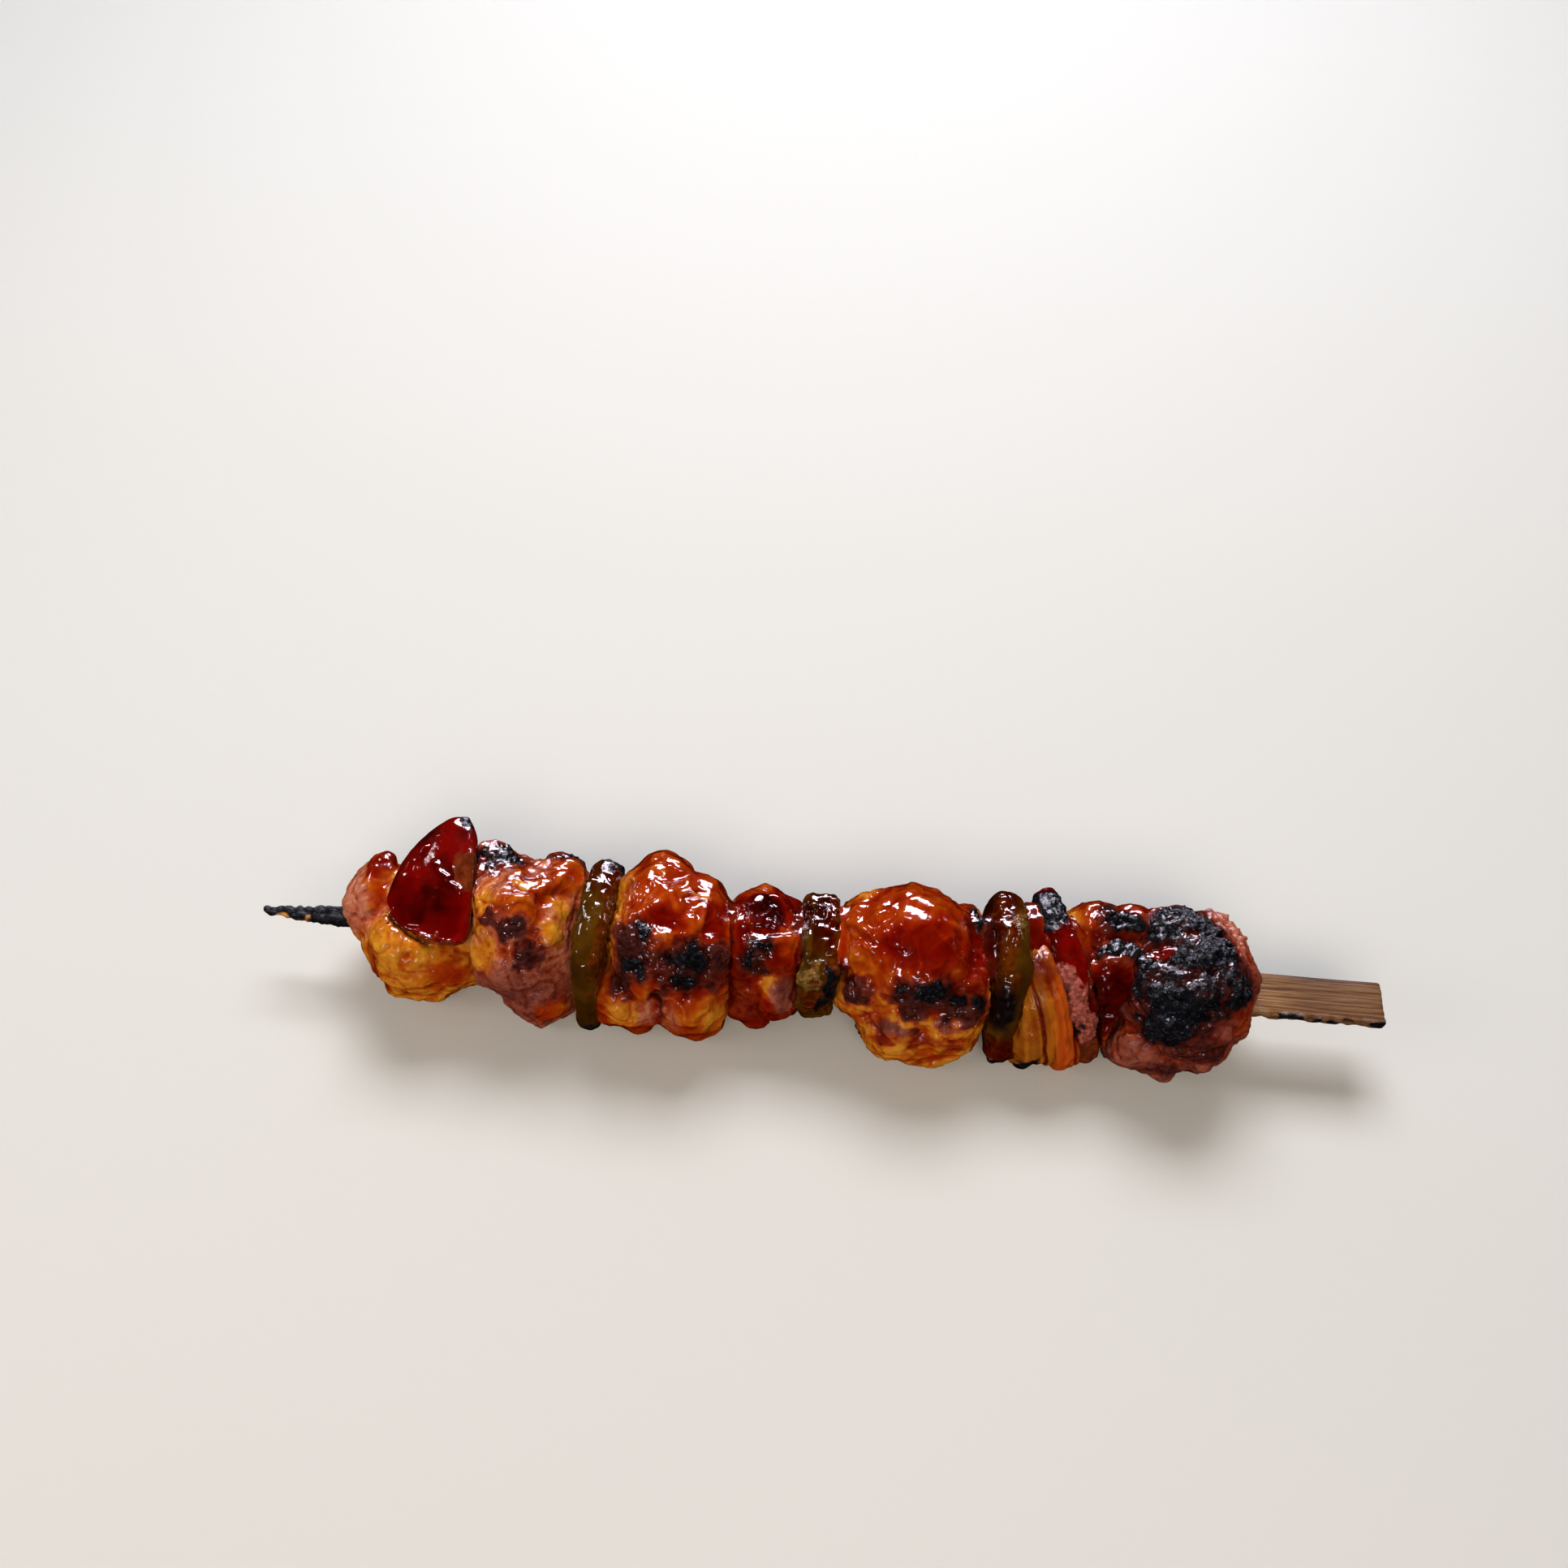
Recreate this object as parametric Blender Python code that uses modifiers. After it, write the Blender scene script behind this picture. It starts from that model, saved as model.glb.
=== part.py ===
"""A grilled pork skewer lying on its side: seven pork chunks, three pieces of green pepper, two of
red pepper and a wedge of onion, threaded on a flat bamboo stick that tapers to a burnt tip.

Everything is laid out in the stick's own frame, in millimetres: X runs from the tip to the handle's
end, Y across, and Z up from the surface that the food rests on. The last step moves the whole thing
so that the origin is the middle of its footprint.
"""

import bmesh
import bpy
from mathutils import Matrix, Vector, noise

MM = 0.001

# The stick
STICK_LENGTH = 254.0
STICK_WIDTH = 10.0
STICK_THICKNESS = 3.0
STICK_HEIGHT = 17.0  # its middle, above the surface that the food rests on
TIP_WIDTH = 1.5
TIP_THICKNESS = 1.2
NECK_AT, NECK_WIDTH = 20.0, 4.0  # where the tip meets the food
SHOULDER_AT = 62.0  # the taper ends here, inside the food
STICK_EDGE = 0.45  # radius of its worn edges

GAP = 0.3  # free space between two pieces that press on each other
VOXEL = 1.0  # grain of the skin that fuses a chunk's lobes
SOFTEN = 8  # rounds of smoothing where lobes meet
PRESS = 1.2  # how gradually a chunk flattens against its neighbour
REST_DEPTH = 0.3  # food that comes this near to the surface under it lies flat on it

# Where neighbours press on each other: x at the stick, then how x changes with y and with height
PORK_1_TO_PORK_2 = (51.6, -0.10, 0.0)
PORK_2_TO_GREEN_1 = (75.0, 0.08, 0.0)
GREEN_1_TO_PORK_3 = (81.3, 0.10, 0.03)
PORK_3_TO_PORK_4 = (108.4, 0.0, 0.0)
PORK_4_TO_GREEN_2 = (124.5, 0.0, 0.0)
GREEN_2_TO_PORK_5 = (133.2, 0.05, 0.0)
PORK_5_TO_GREEN_3 = (166.0, -0.08, 0.0)
ONION_TO_RED_2 = (181.4, -0.38, -0.15)
RED_2_TO_PORK_6 = (188.0, -0.36, -0.13)
PORK_6_TO_PORK_7 = (197.6, 0.30, 0.0)

# Each lobe is its middle (x, y, z) and its three radii
PORK_1 = (
    (25.4, 4.0, 18.5, 6.9, 9.0, 8.0),
    (27.0, 9.8, 22.0, 4.0, 5.2, 5.0),
    (37.8, -4.5, 13.4, 13.4, 11.8, 14.2),
    (40.0, 5.0, 15.0, 12.0, 11.0, 15.5),
    (46.5, -3.0, 14.0, 8.5, 9.6, 11.5),
)
PORK_2 = (
    (62.0, 0.5, 17.0, 13.0, 16.3, 17.6),
    (68.0, 8.0, 20.0, 8.0, 9.5, 11.5),
    (56.5, 7.0, 21.0, 8.0, 10.5, 11.0),
    (57.0, -3.5, 17.0, 8.5, 10.5, 11.0),
    (66.0, -9.4, 9.3, 9.8, 8.0, 10.2),
    (53.6, 14.0, 27.0, 4.8, 4.2, 3.8),
    (66.8, -14.4, 5.6, 3.0, 3.0, 3.4),
)
PORK_3 = (
    (95.5, 1.0, 17.6, 14.5, 16.3, 18.4),
    (92.5, 8.5, 20.0, 9.0, 11.0, 14.6),
    (101.5, 0.0, 17.0, 9.0, 14.0, 15.0),
    (86.8, -9.6, 10.4, 7.6, 8.0, 10.8),
    (100.0, -10.6, 11.2, 8.4, 8.4, 11.6),
    (88.8, -15.6, 4.6, 2.6, 2.2, 3.0),
)
PORK_4 = (
    (116.3, 2.5, 16.0, 9.6, 12.6, 14.0),
    (116.3, 5.5, 25.5, 4.8, 4.9, 4.9),
    (119.5, -6.0, 12.0, 5.6, 6.6, 9.0),
    (112.8, -5.5, 7.4, 5.6, 6.6, 6.6),
    (115.4, -10.4, 4.0, 2.6, 2.6, 2.2),
)
PORK_5 = (
    (149.5, 1.0, 17.4, 15.8, 15.6, 18.4),
    (148.0, 7.0, 20.0, 11.0, 10.3, 14.0),
    (139.5, 6.6, 20.0, 6.6, 8.4, 9.4),
    (160.5, 7.0, 19.5, 6.4, 7.0, 9.0),
    (139.5, -6.5, 15.5, 6.5, 6.5, 8.0),
    (148.0, -11.4, 10.0, 9.0, 8.0, 10.4),
    (157.5, -9.8, 11.5, 8.5, 9.0, 11.8),
    (161.5, -4.0, 18.0, 6.0, 9.5, 10.0),
    (153.0, -15.6, 6.2, 6.0, 4.4, 5.6),
)
PORK_6 = (
    (193.0, 2.5, 16.0, 10.0, 13.0, 14.8),
    (189.5, 9.0, 22.5, 7.5, 7.5, 8.5),
    (197.0, 9.0, 23.0, 6.0, 7.0, 7.0),
    (192.5, -5.5, 13.5, 6.0, 8.0, 11.0),
)
PORK_7 = (
    (210.5, -0.5, 17.0, 15.0, 15.8, 17.6),
    (206.5, 9.0, 22.0, 8.5, 7.5, 9.5),
    (215.0, 8.5, 20.0, 8.5, 8.5, 9.5),
    (217.0, 1.0, 18.0, 8.8, 13.0, 13.5),
    (203.0, -9.6, 9.6, 8.6, 8.0, 10.2),
    (212.5, -10.0, 11.5, 9.5, 7.5, 10.0),
    (207.8, -15.4, 6.2, 3.4, 3.0, 3.4),
)
ONION = (
    (178.5, -2.0, 14.5, 9.0, 12.0, 13.5),
    (179.5, -9.0, 11.0, 8.5, 8.5, 10.5),
    (184.5, -11.5, 8.0, 6.5, 6.0, 7.0),
    (177.0, -14.4, 4.6, 2.4, 3.4, 3.6),
)
ONION_LAYER = 3.4  # thickness of one onion layer
ONION_GROOVE = 0.9  # depth of the step between two layers

# Meat relief: height and spacing of its lumps, coarse then fine
COARSE_RELIEF, COARSE_SPACING = 1.6, 8.5
FINE_RELIEF, FINE_SPACING = 1.1, 4.0

# Each piece of pepper is a sheet: its four corners (far-low, near-low, near-high and far-high), how
# far its middle is crowned, how far its edges bulge, and its wall
RED_1 = (
    ((51.0, 12.0, 29.5), (52.8, -10.2, 27.0), (28.6, -1.0, 26.6), (43.6, 23.4, 31.0)),
    -3.0,
    2.5,
    3.2,
)
GREEN_1 = (
    ((79.4, 13.0, 4.5), (78.2, -20.8, 2.6), (78.4, -13.5, 32.0), (79.8, 17.6, 29.5)),
    1.0,
    1.0,
    5.6,
)
GREEN_2 = (
    ((129.0, 12.0, 5.0), (128.6, -13.6, 4.6), (129.4, -9.5, 28.6), (129.0, 14.4, 28.2)),
    1.0,
    1.0,
    7.6,
)
GREEN_3 = (
    ((169.0, 13.0, 4.0), (171.8, -20.6, 2.4), (172.6, -5.5, 31.6), (170.6, 18.4, 28.2)),
    2.0,
    1.0,
    6.0,
)
RED_2 = (
    ((181.4, 13.0, 6.0), (192.2, -19.4, 4.0), (184.4, -3.6, 30.4), (177.4, 20.4, 27.6)),
    0.0,
    1.0,
    5.8,
)
SHEET_CELLS = 5  # cells along a sheet's side
CORNER_ROUND = 0.12  # how far a sheet's corners are cut back

CHUNK_TRIANGLES = {
    "pork_1": 900,
    "pork_2": 1050,
    "pork_3": 1150,
    "pork_4": 650,
    "pork_5": 1250,
    "pork_6": 700,
    "pork_7": 1150,
    "onion_1": 700,
}


def new_material(name, colour, roughness):
    """A plain non-metal finish."""
    material = bpy.data.materials.new(name)
    material.use_nodes = True
    shader = material.node_tree.nodes["Principled BSDF"]
    shader.inputs["Base Color"].default_value = (*colour, 1.0)
    shader.inputs["Roughness"].default_value = roughness
    shader.inputs["Metallic"].default_value = 0.0
    return material


def new_object(name, mesh, collection, material=None):
    obj = bpy.data.objects.new(name, mesh)
    collection.objects.link(obj)
    if material:
        mesh.materials.clear()
        mesh.materials.append(material)
    return obj


def baked(obj, name):
    """The object's evaluated shape as a plain mesh; the object is removed."""
    graph = bpy.context.evaluated_depsgraph_get()
    mesh = bpy.data.meshes.new_from_object(obj.evaluated_get(graph))
    mesh.name = name
    mesh.transform(obj.matrix_world)
    bpy.data.objects.remove(obj)
    return mesh


def add_boolean(obj, cutter):
    cut = obj.modifiers.new("clear of " + cutter.name, "BOOLEAN")
    cut.operation = "DIFFERENCE"
    cut.solver = "EXACT"
    cut.object = cutter


def contact_x(contact, point):
    """x of a contact plane beside a point, in millimetres."""
    at_stick, with_y, with_height = contact
    return at_stick + with_y * point.y + with_height * (point.z - STICK_HEIGHT)


def softened_limit(over):
    """How far to pull back a point that is this far past a limit. It fades in over PRESS."""
    if over <= -PRESS:
        return 0.0
    if over >= PRESS:
        return over
    return (over + PRESS) ** 2 / (4.0 * PRESS)


def press(mesh, low, high, soft):
    """Flattens the mesh between two contact planes, and onto the surface that it rests on."""
    for vertex in mesh.vertices:
        point = vertex.co / MM
        if high:
            over = point.x - (contact_x(high, point) - GAP / 2)
            point.x -= softened_limit(over) if soft else max(over, 0.0)
        if low:
            over = (contact_x(low, point) + GAP / 2) - point.x
            point.x += softened_limit(over) if soft else max(over, 0.0)
        if point.z < REST_DEPTH:
            point.z = 0.0
        vertex.co = point * MM


def meat_relief(point, seed):
    shift = Vector((seed * 13.7, seed * -7.3, seed * 5.1))
    coarse = noise.noise(point / COARSE_SPACING + shift)
    fine = noise.noise(point / FINE_SPACING - shift)
    return COARSE_RELIEF * coarse + FINE_RELIEF * fine


def onion_relief(point, seed):
    """Steps down from one layer to the next, along the wedge."""
    across = point.x - 0.35 * abs(point.y) + 0.6 * noise.noise(point / COARSE_SPACING)
    place = (across / ONION_LAYER) % 1.0
    return -ONION_GROOVE * max(0.0, 1.0 - 4.0 * min(place, 1.0 - place)) + 0.3 * noise.noise(point / 5.0)


def build_chunk(name, lobes, relief, seed, low, high, collection, material):
    """Lobes fused into one skin, roughened, pressed against the neighbours and thinned out."""
    bm = bmesh.new()
    for x, y, z, *radii in lobes:
        place = Matrix.Translation(Vector((x, y, z)) * MM)
        size = Matrix.Diagonal(Vector((*radii, 1.0 / MM)) * MM)
        bmesh.ops.create_uvsphere(bm, u_segments=24, v_segments=14, radius=1.0, matrix=place @ size)
    mesh = bpy.data.meshes.new(name + "_lobes")
    bm.to_mesh(mesh)
    bm.free()
    skin = new_object(name + "_lobes", mesh, collection)
    fuse = skin.modifiers.new("fuse", "REMESH")
    fuse.mode = "VOXEL"
    fuse.voxel_size = VOXEL * MM
    soften = skin.modifiers.new("soften", "SMOOTH")
    soften.iterations = SOFTEN
    mesh = baked(skin, name + "_skin")

    for vertex in mesh.vertices:
        vertex.co += vertex.normal * relief(vertex.co / MM, seed) * MM
    press(mesh, low, high, soft=True)

    skin = new_object(name + "_skin", mesh, collection)
    thin = skin.modifiers.new("thin", "DECIMATE")
    thin.ratio = CHUNK_TRIANGLES[name] / (2.0 * len(mesh.polygons))
    thin.use_collapse_triangulate = True
    mesh = baked(skin, name)
    press(mesh, low, high, soft=False)
    return new_object(name, mesh, collection, material)


def sheet_surface(corners, crown, bulge, seed):
    """An open sheet between four corners, crowned in the middle and bulging at its edges."""
    far_low, near_low, near_high, far_high = (Vector(corner) for corner in corners)
    face = (near_high - far_low).cross(far_high - near_low).normalized()
    middle = (far_low + near_low + near_high + far_high) / 4
    bm = bmesh.new()
    bmesh.ops.create_grid(bm, x_segments=SHEET_CELLS, y_segments=SHEET_CELLS, size=1.0)
    for vertex in bm.verts:
        a, b = vertex.co.x, vertex.co.y
        s = a * (1.0 - CORNER_ROUND * b * b)
        t = b * (1.0 - CORNER_ROUND * a * a)
        low = far_low.lerp(near_low, (1 + s) / 2)
        high = far_high.lerp(near_high, (1 + s) / 2)
        point = low.lerp(high, (1 + t) / 2)
        spread = bulge * max(abs(a), abs(b)) ** 4 * (1 - min(abs(a), abs(b)) ** 2)
        point += (point - middle).normalized() * spread
        point += face * crown * (1 - a * a) * (1 - b * b)
        point += face * 0.8 * noise.noise(point / 9.0 + Vector((seed, 0, 0)))
        vertex.co = point * MM
    mesh = bpy.data.meshes.new("sheet")
    bm.to_mesh(mesh)
    bm.free()
    return mesh


def build_sheet(name, shape, seed, low, high, collection, material):
    """A piece of pepper: a sheet with a wall, its cut edges slightly rounded."""
    corners, crown, bulge, wall = shape
    sheet = new_object(name + "_sheet", sheet_surface(corners, crown, bulge, seed), collection)
    solid = sheet.modifiers.new("wall", "SOLIDIFY")
    solid.thickness = wall * MM
    solid.offset = 0.0
    rounded = sheet.modifiers.new("round", "SUBSURF")
    rounded.levels = 1
    rounded.render_levels = 1
    mesh = baked(sheet, name)
    press(mesh, low, high, soft=False)
    return new_object(name, mesh, collection, material)


def build_sheet_room(name, shape, seed, collection):
    """The same sheet, a little thicker and wider: it clears the food under a piece of pepper."""
    corners, crown, bulge, wall = shape
    room = new_object(name, sheet_surface(corners, crown, bulge + 1.0, seed), collection)
    solid = room.modifiers.new("wall", "SOLIDIFY")
    solid.thickness = (wall + 5 * GAP) * MM
    solid.offset = 0.0
    return new_object(name, baked(room, name), collection)


def build_stick(name, clearance, collection, material=None):
    """The flat stick, grown by a clearance on every side: rectangles joined from the tip to the end."""
    sections = (
        (-2 * clearance, TIP_WIDTH, TIP_THICKNESS),
        (NECK_AT, NECK_WIDTH, STICK_THICKNESS),
        (SHOULDER_AT, STICK_WIDTH, STICK_THICKNESS),
        (STICK_LENGTH + 2 * clearance, STICK_WIDTH, STICK_THICKNESS),
    )
    bm = bmesh.new()
    rings = []
    for x, width, thickness in sections:
        y = width / 2 + clearance
        z = thickness / 2 + clearance
        ring = []
        for side, level in ((-1, -1), (1, -1), (1, 1), (-1, 1)):
            ring.append(bm.verts.new(Vector((x, side * y, STICK_HEIGHT + level * z)) * MM))
        rings.append(ring)
    for ring, following in zip(rings, rings[1:]):
        for i in range(4):
            j = (i + 1) % 4
            bm.faces.new((ring[i], ring[j], following[j], following[i]))
    bm.faces.new(rings[0])
    bm.faces.new(rings[-1])
    bmesh.ops.recalc_face_normals(bm, faces=bm.faces)
    mesh = bpy.data.meshes.new(name)
    bm.to_mesh(mesh)
    bm.free()
    stick = new_object(name, mesh, collection, material)
    if not clearance:
        worn = stick.modifiers.new("worn edges", "BEVEL")
        worn.width = STICK_EDGE * MM
        worn.segments = 2
    return stick


def hide_cutter(cutter):
    cutter.hide_render = True
    cutter.display_type = "WIRE"


def centre_on_footprint(objects, cutters):
    """Moves all pieces so that the origin is the middle of their footprint."""
    bpy.context.view_layer.update()
    corners = [obj.matrix_world @ Vector(corner) for obj in objects for corner in obj.bound_box]
    middle_x = (min(c.x for c in corners) + max(c.x for c in corners)) / 2
    middle_y = (min(c.y for c in corners) + max(c.y for c in corners)) / 2
    for obj in [*objects, *cutters]:
        obj.data.transform(Matrix.Translation((-middle_x, -middle_y, 0.0)))


def main():
    for obj in list(bpy.data.objects):
        bpy.data.objects.remove(obj)
    food = bpy.data.collections.new("pork_skewer")
    cutters = bpy.data.collections.new("cutters")
    bpy.context.scene.collection.children.link(food)
    bpy.context.scene.collection.children.link(cutters)

    pork = new_material("pork", (0.36, 0.10, 0.04), 0.4)
    green = new_material("green_pepper", (0.16, 0.13, 0.02), 0.3)
    red = new_material("red_pepper", (0.30, 0.02, 0.01), 0.25)
    onion = new_material("onion", (0.60, 0.28, 0.05), 0.35)
    bamboo = new_material("bamboo", (0.36, 0.20, 0.09), 0.6)

    build_stick("skewer_stick", 0.0, food, bamboo)
    stick_room = build_stick("stick_room", GAP, cutters)

    chunks = (
        ("pork_1", PORK_1, meat_relief, None, PORK_1_TO_PORK_2, pork),
        ("pork_2", PORK_2, meat_relief, PORK_1_TO_PORK_2, PORK_2_TO_GREEN_1, pork),
        ("pork_3", PORK_3, meat_relief, GREEN_1_TO_PORK_3, PORK_3_TO_PORK_4, pork),
        ("pork_4", PORK_4, meat_relief, PORK_3_TO_PORK_4, PORK_4_TO_GREEN_2, pork),
        ("pork_5", PORK_5, meat_relief, GREEN_2_TO_PORK_5, PORK_5_TO_GREEN_3, pork),
        ("onion_1", ONION, onion_relief, None, ONION_TO_RED_2, onion),
        ("pork_6", PORK_6, meat_relief, RED_2_TO_PORK_6, PORK_6_TO_PORK_7, pork),
        ("pork_7", PORK_7, meat_relief, PORK_6_TO_PORK_7, None, pork),
    )
    for seed, (name, lobes, relief, low, high, material) in enumerate(chunks, start=1):
        build_chunk(name, lobes, relief, seed, low, high, food, material)

    sheets = (
        ("red_pepper_1", RED_1, None, PORK_1_TO_PORK_2, red),
        ("green_pepper_1", GREEN_1, PORK_2_TO_GREEN_1, GREEN_1_TO_PORK_3, green),
        ("green_pepper_2", GREEN_2, PORK_4_TO_GREEN_2, GREEN_2_TO_PORK_5, green),
        ("green_pepper_3", GREEN_3, PORK_5_TO_GREEN_3, None, green),
        ("red_pepper_2", RED_2, ONION_TO_RED_2, RED_2_TO_PORK_6, red),
    )
    for seed, (name, shape, low, high, material) in enumerate(sheets, start=1):
        build_sheet(name, shape, seed, low, high, food, material)

    rooms = {
        "pork_1": build_sheet_room("red_pepper_1_room", RED_1, 1, cutters),
        "onion_1": build_sheet_room("green_pepper_3_room", GREEN_3, 4, cutters),
    }
    for name, room in rooms.items():
        add_boolean(food.objects[name], room)
    for obj in food.objects:
        if obj.name != "skewer_stick":
            add_boolean(obj, stick_room)
    for cutter in cutters.objects:
        hide_cutter(cutter)
    for obj in food.objects:
        if obj.name != "skewer_stick":
            obj.data.shade_smooth()
    centre_on_footprint(list(food.objects), list(cutters.objects))


main()
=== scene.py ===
"""The looks of a grilled pork skewer: glazed and charred meat, blistered peppers and onion on a burnt
bamboo stick.

Places are in the stick's own frame, in millimetres: X runs from the tip to the handle's end, Y
across, and Z up from the floor, with the stick's middle at STICK_HEIGHT.
"""

from math import cos, radians, sin

import bmesh
import bpy
import numpy as np
from mathutils import Matrix, Vector
from mathutils.bvhtree import BVHTree


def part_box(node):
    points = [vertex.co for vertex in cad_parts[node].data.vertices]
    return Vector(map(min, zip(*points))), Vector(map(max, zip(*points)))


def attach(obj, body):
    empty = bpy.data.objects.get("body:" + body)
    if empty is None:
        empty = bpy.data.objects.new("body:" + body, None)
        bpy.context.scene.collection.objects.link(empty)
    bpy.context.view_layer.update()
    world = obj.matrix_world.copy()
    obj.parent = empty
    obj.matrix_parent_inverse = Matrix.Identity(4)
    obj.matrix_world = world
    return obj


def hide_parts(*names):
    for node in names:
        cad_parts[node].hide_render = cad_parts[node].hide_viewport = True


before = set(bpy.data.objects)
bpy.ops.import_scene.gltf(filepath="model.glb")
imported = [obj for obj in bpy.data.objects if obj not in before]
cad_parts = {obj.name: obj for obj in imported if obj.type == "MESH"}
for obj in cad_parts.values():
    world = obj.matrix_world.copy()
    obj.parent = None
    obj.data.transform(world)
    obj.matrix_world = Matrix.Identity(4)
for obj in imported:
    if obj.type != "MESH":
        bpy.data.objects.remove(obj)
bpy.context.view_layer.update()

MM = 0.001
STICK_HEIGHT = 17.0
stick_low, stick_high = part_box("skewer_stick")
STICK_FRAME = np.array(
    [
        stick_low.x,
        (stick_low.y + stick_high.y) / 2,
        (stick_low.z + stick_high.z) / 2 - STICK_HEIGHT * MM,
    ]
)

GRAIN = 0.34  # spacing of the points on the meat's skin
FINE_GRAIN = GRAIN * 0.9  # the same on the thinner peppers and onion
CAMERA_PLACE = (130.3, -104.0, 275.8)
CAMERA_TURN = 5.2  # degrees round Z
CAMERA_HEIGHT = 60.04  # degrees above the horizon that it looks down from
CAMERA_LENS = 27.93

# ---------------------------------------------------------------------------- noise on the points

NOISE_SWING = 1.7  # brings the noise to about -1 to 1


def lump_noise(places, spacing, seed):
    """Smooth noise from about -1 to 1 at each place, its lumps that far apart."""
    rng = np.random.default_rng(seed)
    shuffle = rng.permutation(256)
    slopes = rng.normal(size=(256, 3))
    slopes /= np.linalg.norm(slopes, axis=1)[:, None]
    where = places / spacing + 64.0
    cell = np.floor(where).astype(int)
    part = where - cell
    ease = part**3 * (part * (part * 6 - 15) + 10)
    total = np.zeros(len(places))
    for corner in np.ndindex(2, 2, 2):
        x, y, z = ((cell + corner) & 255).T
        slope = slopes[shuffle[(shuffle[(shuffle[x] + y) & 255] + z) & 255]]
        nearness = np.prod(np.where(corner, ease, 1.0 - ease), axis=1)
        total += nearness * ((part - corner) * slope).sum(axis=1)
    return total * NOISE_SWING


def fade(low, high, values):
    """0 below low, 1 above high, and a smooth step between."""
    share = np.clip((values - low) / (high - low), 0.0, 1.0)
    return share * share * (3.0 - 2.0 * share)


def pushes(places, spacing, seed):
    """A smooth push along X, Y and Z at each place, from about -1 to 1."""
    return np.stack([lump_noise(places, spacing, seed + axis) for axis in range(3)], axis=1)


def stirred(places, seed):
    """The places pushed about, so that whatever is measured from them gets ragged edges."""
    return places + 1.5 * pushes(places, 4.5, seed) + pushes(places, 1.8, seed + 10)


def patch(places, centre, radii, softness=0.8):
    """1 inside an ellipsoid round the centre, 0 outside it."""
    reach = np.linalg.norm((places - np.array(centre)) / np.array(radii), axis=1)
    return 1.0 - fade(1.0 - softness / 2, 1.0 + softness / 2, reach)


# ------------------------------------------------------------------------------------- fine skins


def placed(name, data):
    """A new object with that data, linked to the scene."""
    new = bpy.data.objects.new(name, data)
    bpy.context.scene.collection.objects.link(new)
    return new


def make_even(rough, spacing):
    """Gives the object even faces, that many millimetres apart."""
    even = rough.modifiers.new("even", "REMESH")
    even.mode = "VOXEL"
    even.voxel_size = spacing * MM


def soften(rough, rounds):
    """Smooths the object's skin that many times over."""
    rough.modifiers.new("soft", "SMOOTH").iterations = rounds


def shaped_mesh(rough):
    """The object's modified shape as a plain mesh; the object is removed."""
    graph = bpy.context.evaluated_depsgraph_get()
    mesh = bpy.data.meshes.new_from_object(rough.evaluated_get(graph))
    bpy.data.objects.remove(rough)
    return mesh


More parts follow.
